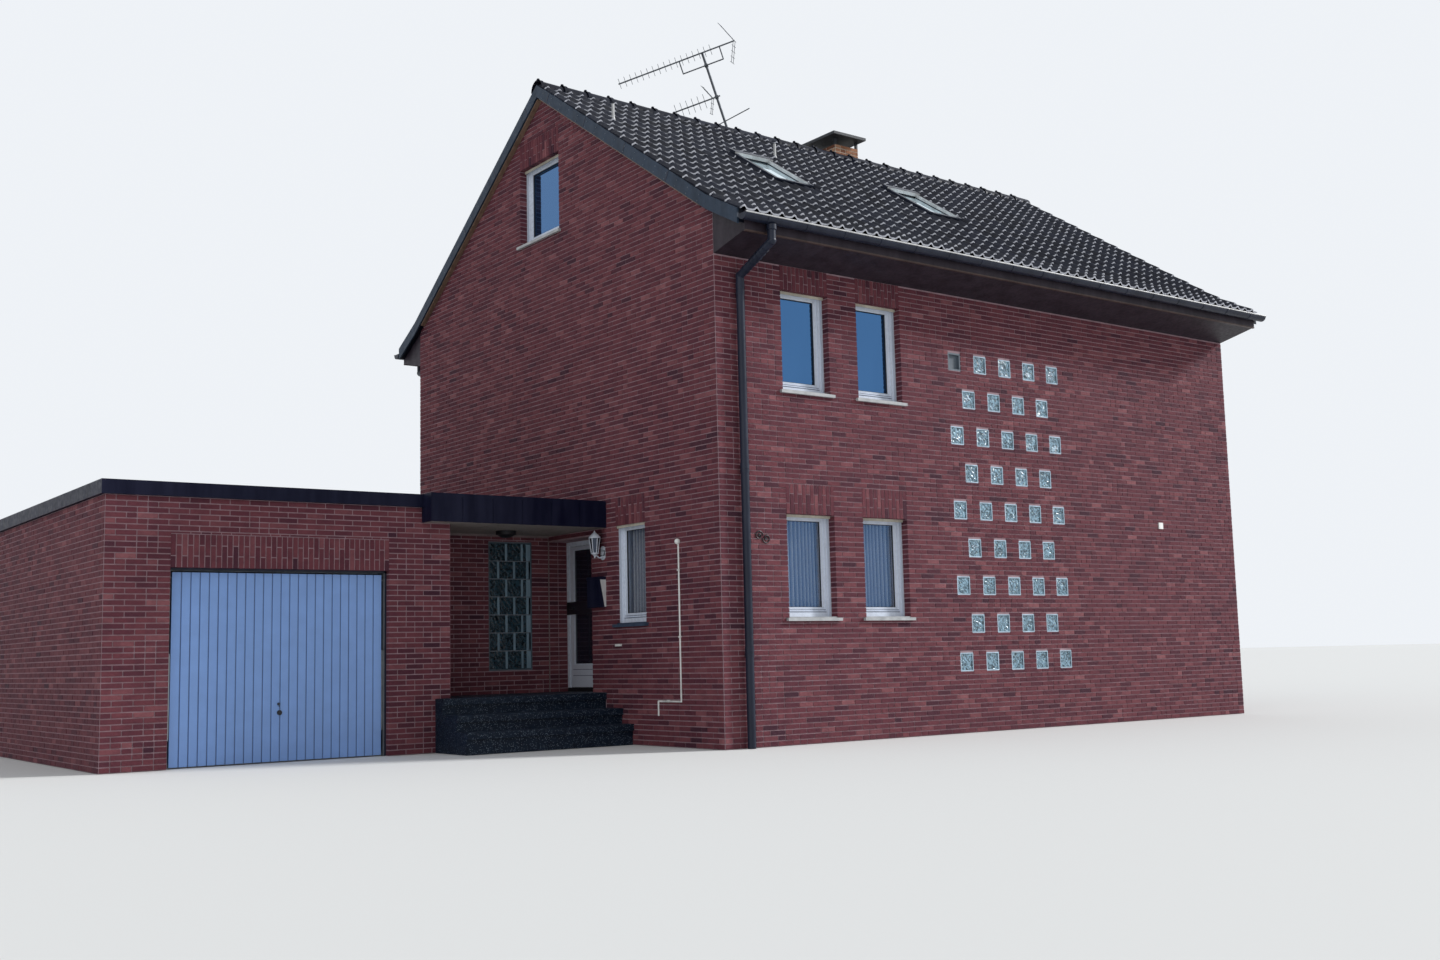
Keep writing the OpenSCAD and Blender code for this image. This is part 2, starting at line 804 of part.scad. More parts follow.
module canopy_soffit() {
    inner_x0 = canopy_x0 + canopy_board_t;
    color("#b9ab93") from_corner() translate([0, 0, canopy_z]) linear_extrude(canopy_soffit_t)
        polygon([[inner_x0, canopy_y0 + canopy_board_t], [0, canopy_y0 + canopy_board_t],
            [0, porch_back], [-porch_w, porch_back], [-porch_w, garage_y], [inner_x0, garage_y]]);
}

seam_w = 18;
seam_d = 8;

module canopy_fascia() {
    panel = -canopy_x0 / canopy_panels;
    color(dark) from_corner() difference() {
        union() {
            span([canopy_x0, canopy_y0, canopy_z],
                [0, canopy_y0 + canopy_board_t, canopy_top]);
            span([canopy_x0, canopy_y0, canopy_z],
                [canopy_x0 + canopy_board_t, garage_y, canopy_top]);
        }
        for (i = [1:canopy_panels - 1])
            translate([canopy_x0 + i * panel - seam_w / 2, canopy_y0 - eps, canopy_z - eps])
                cube([seam_w, seam_d + eps, canopy_top - canopy_z - 2 * seam_w]);
    }
}

// Chimney and roof windows

module chimney_hole(margin) {
    span([chimney_x - margin, chimney_y - margin, 0],
        [chimney_x + chimney_w + margin, chimney_y + chimney_d + margin, 2 * ridge_z]);
}

module chimney_stack() {
    flue_wall = (chimney_w - flue) / 2;
    color(brick_lit) from_corner() difference() {
        span([chimney_x, chimney_y, attic_z],
            [chimney_x + chimney_w, chimney_y + chimney_d, chimney_top]);
        span([chimney_x + flue_wall, chimney_y + flue_wall, attic_z + flue],
            [chimney_x + chimney_w - flue_wall, chimney_y + chimney_d - flue_wall,
            chimney_top + eps]);
    }
}

module chimney_cover() {
    low = [chimney_x, chimney_y, chimney_top];
    color(slate) from_corner() translate(low) {
        span([-cap_out, -cap_out, cap_gap],
            [chimney_w + cap_out / 4, chimney_d + cap_out, cap_gap + cap_t]);
        for (x = [0, chimney_w - cap_leg], y = [0, chimney_d - cap_leg])
            translate([x, y, 0]) cube([cap_leg, cap_leg, cap_gap + eps]);
    }
}

// Lays a child drawn level, with its low front corner at the origin, on the front slope
module on_front_slope(x) {
    translate([x - roof_window_w / 2, roof_window_y, eaves_z + roof_window_y * tan(pitch)])
        rotate([pitch, 0, 0]) children();
}

roof_window_l = roof_window_run / cos(pitch);
roof_frame_d = 90;

module roof_window_frames() {
    color(slate) from_corner() for (x = [roof_window_1, roof_window_2]) intersection() {
        on_front_slope(x) difference() {
            span([0, -roof_frame_d, -roof_frame_d],
                [roof_window_w, roof_window_l + roof_frame_d, roof_window_rise]);
            span([roof_bar, roof_bar, -2 * roof_frame_d],
                [roof_window_w - roof_bar, roof_window_l - roof_bar, 2 * roof_frame_d]);
        }
        roof_window_cut(x, 0);
    }
}

module roof_window_panes() {
    color(clear_glass) from_corner() for (x = [roof_window_1, roof_window_2])
        on_front_slope(x) translate([roof_bar, roof_bar, roof_window_rise - 2 * roof_pane_t])
            cube([roof_window_w - 2 * roof_bar, roof_window_l - 2 * roof_bar, roof_pane_t]);
}

// Windows

module window_frame() {
    translate([0, $reveal, 0]) difference() {
        span([0, 0, sill_t], [$w, frame_t, $h]);
        span([frame_bar, -eps, sill_t + frame_bar],
            [$w - frame_bar, frame_t + eps, $h - head_bar]);
    }
}

module window_frames() {
    color(white) from_corner() in_each_window() window_frame();
}

sash_set_back = 14;
sash_t = frame_t - sash_set_back;

module window_sash() {
    low_z = sill_t + frame_bar;
    high_z = $h - head_bar;
    translate([0, $reveal + frame_t - sash_t, 0]) difference() {
        span([frame_bar, 0, low_z], [$w - frame_bar, sash_t, high_z]);
        span([frame_bar + sash_bar, -eps, low_z + sash_bar],
            [$w - frame_bar - sash_bar, sash_t + eps, high_z - sash_bar]);
    }
}

module window_sashes() {
    color(white) from_corner() in_each_window() window_sash();
}

module window_pane() {
    side = frame_bar + sash_bar;
    translate([side, $reveal + frame_t - sash_t + pane_in, sill_t + side])
        cube([$w - 2 * side, pane_t, $h - sill_t - side - head_bar - sash_bar]);
}

module window_panes() {
    color(clear_glass) from_corner() in_each_window() window_pane();
}

module window_sill() {
    span([0, 0, 0], [$w, $reveal + frame_t, sill_t]);
    span([-sill_side, -sill_out, -sill_drop], [$w + sill_side, 0, sill_t / 2]);
    span([0, -sill_out / 2, 0], [$w, eps, sill_t / 2]);
}

module window_sills() {
    color("#d9d9d6") from_corner() in_each_window() window_sill();
}

// Glass blocks

module glass_block() {
    bed = block + 2 * block_bed;
    difference() {
        cube([bed, block_t, bed], center = true);
        for (side = [-1, 1]) translate([0, side * block_t / 2, 0])
            cube([block - 4 * block_bed, 2 * block_bed, block - 4 * block_bed], center = true);
    }
}

module front_glass_blocks() {
    color(block_glass) from_corner() for (i = [1:len(block_places) - 1])
        translate([block_places[i][0], block_t / 2, block_places[i][1]]) glass_block();
}

// Small tilting vent in the place of the first block
module vent_block() {
    bed = block + 2 * block_bed;
    rim = 24;
    color(dark) from_corner() translate([block_places[0][0], block_t / 2, block_places[0][1]]) {
        difference() {
            cube([bed, block_t, bed], center = true);
            cube([bed - 2 * rim, 2 * block_t, bed - 2 * rim], center = true);
        }
        cube([bed - 2 * rim, block_bed, bed - 2 * rim], center = true);
    }
}

module porch_glass_frame() {
    color(white) from_corner() translate([0, porch_back, 0]) difference() {
        span([glass_wall_x0, 0, glass_wall_z0], [glass_wall_x1, block_t, glass_wall_z1]);
        span([glass_wall_x0 + porch_bar, -eps, glass_wall_z0 + porch_bar],
            [glass_wall_x1 - porch_bar, block_t + eps, glass_wall_z1 - porch_bar]);
    }
}

// One course of glass, with upright joints cut into it that step by half a block
module porch_glass_blocks() {
    joint = 10;
    clear_w = porch_glass_w - 2 * porch_bar;
    color(block_glass) from_corner() translate([glass_wall_x0 + porch_bar, porch_back,
        glass_wall_z0 + porch_bar]) difference() {
        cube([clear_w, block_t, glass_wall_z1 - glass_wall_z0 - 2 * porch_bar]);
        for (row = [0:porch_block_rows - 1]) {
            shift = (row % 2) * porch_block_step / 2;
            for (x = [porch_block_step - shift : porch_block_step : clear_w - joint])
                translate([x - joint / 2, -eps, row * porch_block_step])
                    cube([joint, joint + eps, porch_block_step]);
        }
        for (row = [1:porch_block_rows - 1])
            translate([-eps, -eps, row * porch_block_step - joint / 2])
                cube([clear_w + 2 * eps, joint + eps, joint]);
    }
}

// Landing and steps

landing_y = garage_y - landing_out;
step_x0 = -porch_w - step_side;
riser = floor_z / 10 * 3;

module landing() {
    color("#4a5260") from_corner() difference() {
        union() {
            span([step_x0, landing_y, 0], [0, garage_y, floor_z]);
            span([-porch_w, landing_y, 0], [0, porch_back, floor_z]);
            span([-eps, doorway_y, 0], [wall_t, porch_back, floor_z]);
        }
        span([step_x0 - eps, landing_y - eps, -eps], [0, landing_y + nosing, floor_z - tread_t]);
    }
}

// One step: its back stands under the nosing of what lies behind it
module step(front_y, back_y, top_z) {
    span([step_x0, front_y + nosing, 0], [0, back_y + nosing, top_z]);
    span([step_x0, front_y, top_z - tread_t], [0, back_y + nosing, top_z]);
}

module entrance_steps() {
    color("#434b58") from_corner() {
        step(landing_y - step_1, landing_y, floor_z - riser);
        step(landing_y - step_1 - step_2, landing_y - step_1, floor_z - 2 * riser);
    }
}

// Front door, which opens inwards about its near edge

frame_inset = 5;
leaf_inset = 6;
swing_gap = 2;
frame_x0 = door_reveal;
frame_x1 = wall_t - frame_inset;
leaf_x1 = frame_x1 - leaf_inset;
leaf_x0 = leaf_x1 - leaf_t;
leaf_y0 = doorway_y + door_bar + leaf_gap;
leaf_y1 = porch_back - door_bar - leaf_gap - swing_gap;
leaf_z0 = floor_z + door_sill_h + leaf_gap;
leaf_z1 = doorway_top - door_bar - leaf_gap;
knuckle_h = 50;
knuckle_r = 8;
knuckle_pin = 4;
knuckle_gap = 2;
hinge_plate = 40;
hinge_low = 200;
hinge_high = 300;
hinge_x = frame_x1 + knuckle_r + knuckle_gap;
hinge_y = leaf_y0 - leaf_gap / 2;

// Puts a child on the door's hinge axis, at the foot of each hinge
module at_hinges() {
    for (z = [leaf_z0 + hinge_low, leaf_z1 - hinge_high]) translate([hinge_x, hinge_y, z])
        children();
}

module door_frame() {
    color(white) from_corner() difference() {
        span([frame_x0, doorway_y, floor_z], [frame_x1, porch_back, doorway_top]);
        span([frame_x0 - eps, doorway_y + door_bar, floor_z + door_sill_h],
            [frame_x1 + eps, porch_back - door_bar, doorway_top - door_bar]);
    }
    color(steel) from_corner() at_hinges() {
        cylinder(knuckle_h, knuckle_r, knuckle_r, $fn = 24);
        cylinder(knuckle_h * 2, knuckle_pin, knuckle_pin, $fn = 24);
        span([frame_x1 - hinge_x - eps, -hinge_plate, 0], [0, 0, knuckle_h]);
    }
}

pane_y0 = leaf_y0 + stile;
pane_y1 = leaf_y1 - stile;
pane_z0 = leaf_z0 + door_panel_h;
pane_z1 = leaf_z1 - stile / 2;

module door_leaf() {
    handle_l = 140;
    handle_out = 56;
    handle_r = 16;
    bar_d = 20;
    bar_x = leaf_x0 - bar_d;
    color(white) from_corner() difference() {
        span([leaf_x0, leaf_y0, leaf_z0], [leaf_x1, leaf_y1, leaf_z1]);
        span([leaf_x0 - eps, pane_y0, pane_z0], [leaf_x1 + eps, pane_y1, pane_z1]);
    }
    color(dark) from_corner() {
        span([bar_x, leaf_y0 + stile / 2, leaf_z0 + bar_z - bar_h / 2],
            [leaf_x0 + seat / 3, leaf_y1, leaf_z0 + bar_z + bar_h / 2]);
        span([bar_x - handle_out, leaf_y1 - handle_l, leaf_z0 + bar_z - handle_r],
            [bar_x + eps, leaf_y1 - handle_l / 2, leaf_z0 + bar_z + handle_r]);
    }
    color(steel) from_corner() at_hinges() translate([0, 0, knuckle_h + seat]) difference() {
        union() {
            cylinder(knuckle_h, knuckle_r, knuckle_r, $fn = 24);
            span([leaf_x1 - hinge_x - eps, 0, 0], [0, hinge_plate, knuckle_h]);
        }
        translate([0, 0, -eps]) cylinder(knuckle_h + 2 * eps, knuckle_pin + seat, knuckle_pin + seat,
            $fn = 24);
    }
}

module door_pane() {
    mid_x = (leaf_x0 + leaf_x1) / 2;
    color(clear_glass) from_corner()
        span([mid_x - pane_t / 2, pane_y0, pane_z0], [mid_x + pane_t / 2, pane_y1, pane_z1]);
}

// Up-and-over garage door: rollers run back along level tracks while lever arms lift the leaf

axle_r = 6;
post_out = 20;
track_past = 120;
head_gap = 50;
post_y0 = leaf_face_y - post_out;
post_y1 = pier_back;
roller_y = leaf_face_y + garage_leaf_t / 2;
track_y1 = roller_y + door_travel + track_past;
track_foot = roller_z - roller_r - seat;
track_head = roller_z + roller_r + steel_gap;
arm_x = track_w + steel_gap;
leaf_side = arm_x + arm_t + steel_gap;
garage_leaf_x0 = garage_door_x0 + leaf_side;
garage_leaf_x1 = garage_door_x1 - leaf_side;
garage_leaf_top = garage_open_h - head_gap;

// The same child at the left and, mirrored, at the right side of the garage doorway
module both_sides() {
    translate([garage_door_x0, 0, 0]) children();
    translate([garage_door_x1, 0, 0]) mirror([1, 0, 0]) children();
}

module garage_door_track() {
    hanger = 30;
    color(steel) from_corner() {
        both_sides() difference() {
            union() {
                span([0, post_y0, 0], [track_w, post_y1, garage_open_h]);
                span([0, post_y1 - eps, track_foot - track_t], [track_w, track_y1, track_head + track_t]);
                span([0, track_y1 - hanger, roller_z], [track_t * 2, track_y1, garage_h]);
            }
            span([track_t * 2, roller_y - roller_r - steel_gap, track_foot],
                [track_w + eps, track_y1 - hanger, track_head]);
            // Hole for the lever arm's pin
            translate([-eps, roller_y, arm_pivot_z]) rotate([0, 90, 0])
                cylinder(track_w + 2 * eps, axle_r + seat, axle_r + seat, $fn = 24);
        }
        span([garage_door_x0 + track_w - eps, pier_back - track_w, garage_open_h - track_w],
            [garage_door_x1 - track_w + eps, pier_back, garage_open_h]);
    }
}

axle_in = 60;

module garage_trolley() {
    color(steel) from_corner() both_sides() translate([track_t * 2 + steel_gap, roller_y, roller_z])
        rotate([0, 90, 0]) {
            cylinder(track_w - track_t * 2 - steel_gap, roller_r, roller_r, $fn = 32);
            cylinder(leaf_side + axle_in - track_t * 2 - steel_gap, axle_r, axle_r, $fn = 24);
        }
}

// Outline of the ribbed skin seen from above, its face at y = 0
function rib_outline(w, pitch_w) = concat([[0, 0]],
    [for (i = [1:rib_count - 1]) each [[i * pitch_w - rib_w / 2, 0],
        [i * pitch_w - rib_w / 4, rib_d], [i * pitch_w + rib_w / 4, rib_d],
        [i * pitch_w + rib_w / 2, 0]]], [[w, 0], [w, garage_skin_t + rib_d], [0, garage_skin_t + rib_d]]);

module garage_leaf() {
    w = garage_leaf_x1 - garage_leaf_x0;
    h = garage_leaf_top - door_foot;
    bar = 60;
    back = garage_skin_t + rib_d;
    frame_d = garage_leaf_t - back;
    lug_r = 16;
    lock_z = 649;
    color(white) from_corner() {
        difference() {
            union() {
                translate([garage_leaf_x0, leaf_face_y, door_foot]) linear_extrude(h)
                    polygon(rib_outline(w, w / rib_count));
                translate([garage_leaf_x0, leaf_face_y + back - eps, door_foot]) difference() {
                    cube([w, frame_d + eps, h]);
                    for (i = [0:1]) translate([bar, -eps, bar + i * (h / 2 - bar / 2)])
                        cube([w - 2 * bar, frame_d + 3 * eps, h / 2 - 1.5 * bar]);
                }
            }
            // Sockets for the rollers' axles
            both_sides() translate([leaf_side - eps, roller_y, roller_z]) rotate([0, 90, 0])
                cylinder(axle_in + 2 * eps, axle_r + seat, axle_r + seat, $fn = 24);
        }
    }
    // Lock handle
    color(dark) from_corner() translate([(garage_leaf_x0 + garage_leaf_x1) / 2 - lug_r,
        leaf_face_y + eps / 2, lock_z]) rotate([90, 0, 0]) {
        cylinder(lug_r / 2, lug_r, lug_r, $fn = 24);
        cylinder(lug_r * 1.5, lug_r / 3, lug_r / 3, $fn = 24);
        translate([-lug_r / 4, -lug_r * 2, lug_r * 1.2]) cube([lug_r / 2, lug_r * 3, lug_r / 2]);
    }
}

arm_l = 910;
arm_w = 34;

module garage_arms() {
    color(steel) from_corner() both_sides() translate([arm_x, roller_y, arm_pivot_z]) {
        rotate([90, 0, 90]) linear_extrude(arm_t) difference() {
            union() {
                circle(arm_w / 2, $fn = 24);
                translate([0, -arm_l]) circle(arm_w / 2, $fn = 24);
                translate([-arm_w / 2, -arm_l]) square([arm_w, arm_l]);
            }
            translate([0, -arm_l]) circle(axle_r, $fn = 24);
        }
        // Pin that turns in the post
        translate([-arm_x + steel_gap, 0, 0]) rotate([0, 90, 0])
            cylinder(arm_x - steel_gap + eps, axle_r, axle_r, $fn = 24);
    }
}

// Fittings on the gable

lantern_y = doorway_y - lantern_side;

module lantern() {
    cap_h = 70;
    knob_h = 30;
    cup_h = 60;
    arm_r = 12;
    plate_t = 12;
    plate_r = 57;
    plate_l = 70;
    foot_r = 0.6 * lantern_r;
    brim_r = 1.15 * lantern_r;
    cup_r = 0.5 * lantern_r;
    foot_z = lantern_z - knob_h - cap_h - lantern_h;
    color(white) from_corner() translate([0, lantern_y, foot_z]) {
        translate([-lantern_out, 0, 0]) {
            cylinder(lantern_h, foot_r, lantern_r, $fn = 24);
            translate([0, 0, lantern_h - eps])
                cylinder(cap_h + eps, brim_r, arm_r, $fn = 24);
            translate([0, 0, lantern_h + cap_h - eps])
                cylinder(knob_h + eps, arm_r / 2, arm_r / 2, $fn = 24);
            translate([0, 0, -cup_h]) cylinder(cup_h + eps, arm_r / 2, cup_r, $fn = 24);
        }
        translate([-lantern_out, 0, -cup_h / 2]) rotate([0, 90, 0])
            cylinder(lantern_out - plate_t / 2, arm_r, arm_r, $fn = 24);
        // Wall plate with round ends
        translate([-plate_t, 0, -cup_h / 2]) {
            for (z = [0, plate_l]) translate([0, 0, z]) rotate([0, 90, 0])
                cylinder(plate_t, plate_r, plate_r, $fn = 32);
            translate([0, -plate_r, 0]) cube([plate_t, 2 * plate_r, plate_l]);
        }
    }
}

letterbox_side = 35;
letterbox_y1 = doorway_y - letterbox_side;

module letterbox() {
    color(dark) from_corner() span([-letterbox_d, letterbox_y1 - letterbox_w,
        letterbox_z - letterbox_h], [0, letterbox_y1, letterbox_z]);
}

module wall_conduit() {
    top = [-conduit_r, conduit_y, conduit_top];
    foot = [-conduit_r, conduit_y, conduit_low];
    turn = [-conduit_r, conduit_y + conduit_run, conduit_low];
    last = [-conduit_r, conduit_y + conduit_run, conduit_foot];
    color(white) from_corner() {
        pipe(foot, top, conduit_r);
        translate(foot) sphere(conduit_r, $fn = 24);
        pipe(foot, turn, conduit_r);
        translate(turn) sphere(conduit_r, $fn = 24);
        pipe(last, turn, conduit_r);
    }
}

// Aerials

mast_foot = [mast_x, ridge_y, ridge_z + ridge_r / 2];
mast_seat = 30;

// Places a child drawn round an upright mast with its foot at the origin
module on_mast() {
    translate(mast_foot) rotate([0, -mast_lean, 0]) children();
}

upper_z_on_mast = 985;
lower_z_on_mast = 480;
dipole_z = 90;
clamp = 52;

module aerial_mast() {
    color(steel) from_corner() {
        on_mast() {
            translate([0, 0, -mast_seat])
                cylinder(mast_l + mast_seat, mast_r, mast_r, $fn = 24);
            // Clamp blocks for the two booms
            rotate([0, 0, aerial_heading]) for (z = [upper_z_on_mast, lower_z_on_mast])
                translate([-clamp / 2, -clamp / 2, z - clamp / 2]) cube(clamp);
            translate([0, 0, dipole_z]) rotate([0, 0, dipole_heading]) translate([-dipole_back, 0, 0])
                rotate([0, 90, 0]) cylinder(dipole_l, 2 * rod_r, 2 * rod_r, $fn = 24);
        }
    }
}

boom_back = 543;
boom_front = boom_l - boom_back;
tip = 20;

// Upright rod of an aerial at x on its boom
module rod(x, l) {
    translate([x, 0, -l / 2]) cylinder(l, rod_r, rod_r, $fn = 13);
}

// Tilted grid of rods behind an aerial: up for side 1, down for side -1
module reflector(x, height, width, count, side) {
    tilt = 24;
    translate([x, 0, 0]) rotate([0, side * tilt, 0]) {
        for (y = [-width / 4, width / 4]) translate([0, y, side > 0 ? 0 : -height])
            cylinder(height, rod_r, rod_r, $fn = 13);
        for (i = [0:count]) translate([0, -width / 2, side * i * height / count])
            rotate([-90, 0, 0]) cylinder(width, rod_r, rod_r, $fn = 13);
    }
}

bracket_r = 10;
boom_rods_l = 420;
upper_grid_in = 8;
upper_grid_h = 330;
upper_grid_w = 420;
upper_grid_rods = 4;
lower_back = 60;
lower_rods = 6;
lower_rod_l = 224;
lower_rod_step = 95;
lower_grid_h = 240;
lower_grid_w = 320;
lower_grid_rods = 3;

// Two aerials that point the same way, each clamped to the mast
module yagi_aerials() {
    step = (boom_l - boom_rods_l) / (directors - 1);
    leg_1 = boom_front - leg_1_back;
    leg_2 = boom_front - leg_2_back;
    color(steel) from_corner() on_mast() rotate([0, 0, aerial_heading])
        translate([0, clamp / 2, 0]) {
            translate([0, bracket_r, 0]) {
                translate([0, 0, boom_z]) {
                    span([boom_front - boom_l, -boom_w / 2, -boom_w / 2],
                        [boom_front, boom_w / 2, boom_w / 2]);
                    for (i = [0:directors - 1]) rod(boom_front - tip - i * step, director_l);
                    for (side = [-1, 1]) reflector(upper_grid_in - boom_back, upper_grid_h,
                        upper_grid_w, upper_grid_rods, side);
                }
                for (x = [leg_1, leg_2]) {
                    pipe([x, 0, upper_z_on_mast], [x, 0, boom_z], bracket_r);
                    translate([x, 0, upper_z_on_mast]) sphere(bracket_r, $fn = 24);
                }
                pipe([leg_2, 0, upper_z_on_mast], [leg_1, 0, upper_z_on_mast], bracket_r);
            }
            for (z = [upper_z_on_mast, lower_z_on_mast])
                span([-clamp / 2, 0, z - clamp / 4], [clamp / 2, bracket_r, z + clamp / 4]);
            translate([0, boom_w / 2, lower_z_on_mast]) {
                span([-lower_back, -boom_w / 2, -boom_w / 2],
                    [lower_front, boom_w / 2, boom_w / 2]);
                for (i = [0:lower_rods - 1])
                    rod(lower_front - tip - i * lower_rod_step, lower_rod_l);
                for (side = [-1, 1])
                    reflector(lower_back, lower_grid_h, lower_grid_w, lower_grid_rods, side);
            }
        }
}

ground_floor();
upper_floors();
front_wall();
rear_wall();
right_gable_wall();
left_gable_front();
left_gable_rear();
left_gable_upper();
door_lintel();
garage_piers();
garage_lintel();
garage_side_wall();
garage_rear_wall();
porch_side_wall();
porch_back_wall();
garage_floor();
front_roof();
rear_roof();
ridge_tiles();
verge_boards();
eaves_boxes();
gutters();
downpipes();
flat_roof();
flat_roof_edge();
canopy_soffit();
canopy_fascia();
chimney_stack();
chimney_cover();
roof_window_frames();
roof_window_panes();
window_frames();
window_sashes();
window_panes();
window_sills();
front_glass_blocks();
vent_block();
porch_glass_frame();
porch_glass_blocks();
landing();
entrance_steps();
door_frame();
door_leaf();
door_pane();
garage_door_track();
garage_trolley();
garage_leaf();
garage_arms();
lantern();
letterbox();
wall_conduit();
aerial_mast();
yagi_aerials();
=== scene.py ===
"""Dresses the brick house: masonry, roof tiles, joinery, glass, steelwork and light."""

import itertools
import math
import random

import bmesh
import bpy
from mathutils import Euler, Matrix, Vector


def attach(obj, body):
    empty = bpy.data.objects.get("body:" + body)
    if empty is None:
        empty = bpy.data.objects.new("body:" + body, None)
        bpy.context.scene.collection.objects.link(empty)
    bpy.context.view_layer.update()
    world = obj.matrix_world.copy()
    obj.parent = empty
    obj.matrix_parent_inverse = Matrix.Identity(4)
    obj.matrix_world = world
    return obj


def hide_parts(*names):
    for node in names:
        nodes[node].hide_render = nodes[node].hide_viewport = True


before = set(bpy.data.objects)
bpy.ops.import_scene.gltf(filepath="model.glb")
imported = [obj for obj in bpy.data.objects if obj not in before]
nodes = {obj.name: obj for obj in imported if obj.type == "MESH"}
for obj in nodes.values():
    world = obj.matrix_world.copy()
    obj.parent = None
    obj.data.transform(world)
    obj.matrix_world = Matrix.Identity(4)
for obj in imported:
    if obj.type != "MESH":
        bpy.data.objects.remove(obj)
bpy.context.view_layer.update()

# House sizes in metres, counted from the left front corner of the main block
HOUSE_W, HOUSE_D = 10.06, 7.93
MIDDLE = Vector((HOUSE_W / 2, HOUSE_D / 2, 0))
PITCH = math.radians(34)
SPROCKET = math.radians(28)
EAVES_Z, EAVES_OUT, VERGE_OUT = 6.53, 0.60, 0.10
ROOF_T = 0.165
RIDGE_Y = HOUSE_D / 2
RIDGE_Z = EAVES_Z + RIDGE_Y * math.tan(PITCH)
EDGE_Z = EAVES_Z - EAVES_OUT * math.tan(SPROCKET)
FLOOR_Z, STOREY = 0.64, 2.767
WINDOW_W, WINDOW_H, SILL = 0.77, 1.275, 0.845
WINDOW_X = (1.0, 2.24)
REVEAL, HALL_REVEAL = 0.13, 0.068
HALL_WINDOW = (1.548, FLOOR_Z + SILL, 0.675, WINDOW_H)
ATTIC_WINDOW = (3.535, FLOOR_Z + 2 * STOREY + 0.812, 1.09, 1.153)
BLOCK, BLOCK_X, BLOCK_TOP, BLOCK_STEP_X, BLOCK_STEP_Z = 0.242, 3.996, 4.916, 0.49, 0.5
BLOCK_PLACES = [(BLOCK_X + (col + row % 2 / 2) * BLOCK_STEP_X, BLOCK_TOP - row * BLOCK_STEP_Z)
                for row in range(9) for col in range(5 - row % 2)]
GARAGE_X, GARAGE_Y, GARAGE_H, ANNEX_BACK = -6.14, 2.70, 2.94, 8.70
PORCH_X, PORCH_BACK, CANOPY_Z, CANOPY_TOP = -2.105, 3.93, 2.755, 3.10
DOORWAY_Y, DOORWAY_TOP, NICHE = 2.815, 2.675, 0.285
GARAGE_OPENING = (-5.45, -2.90, 2.17)
DOOR_FACE_X, PANEL_FACE_Y = 0.300, 2.80


def corner(x, y, z=0.0):
    """A point given from the left front corner of the main block, in the frame."""
    return Vector((x, y, z)) - MIDDLE


def on_side(rear, y):
    """A depth given for the front side, or its mirror on the rear side."""
    return HOUSE_D - y if rear else y


# Finishes

FINISHES = {}


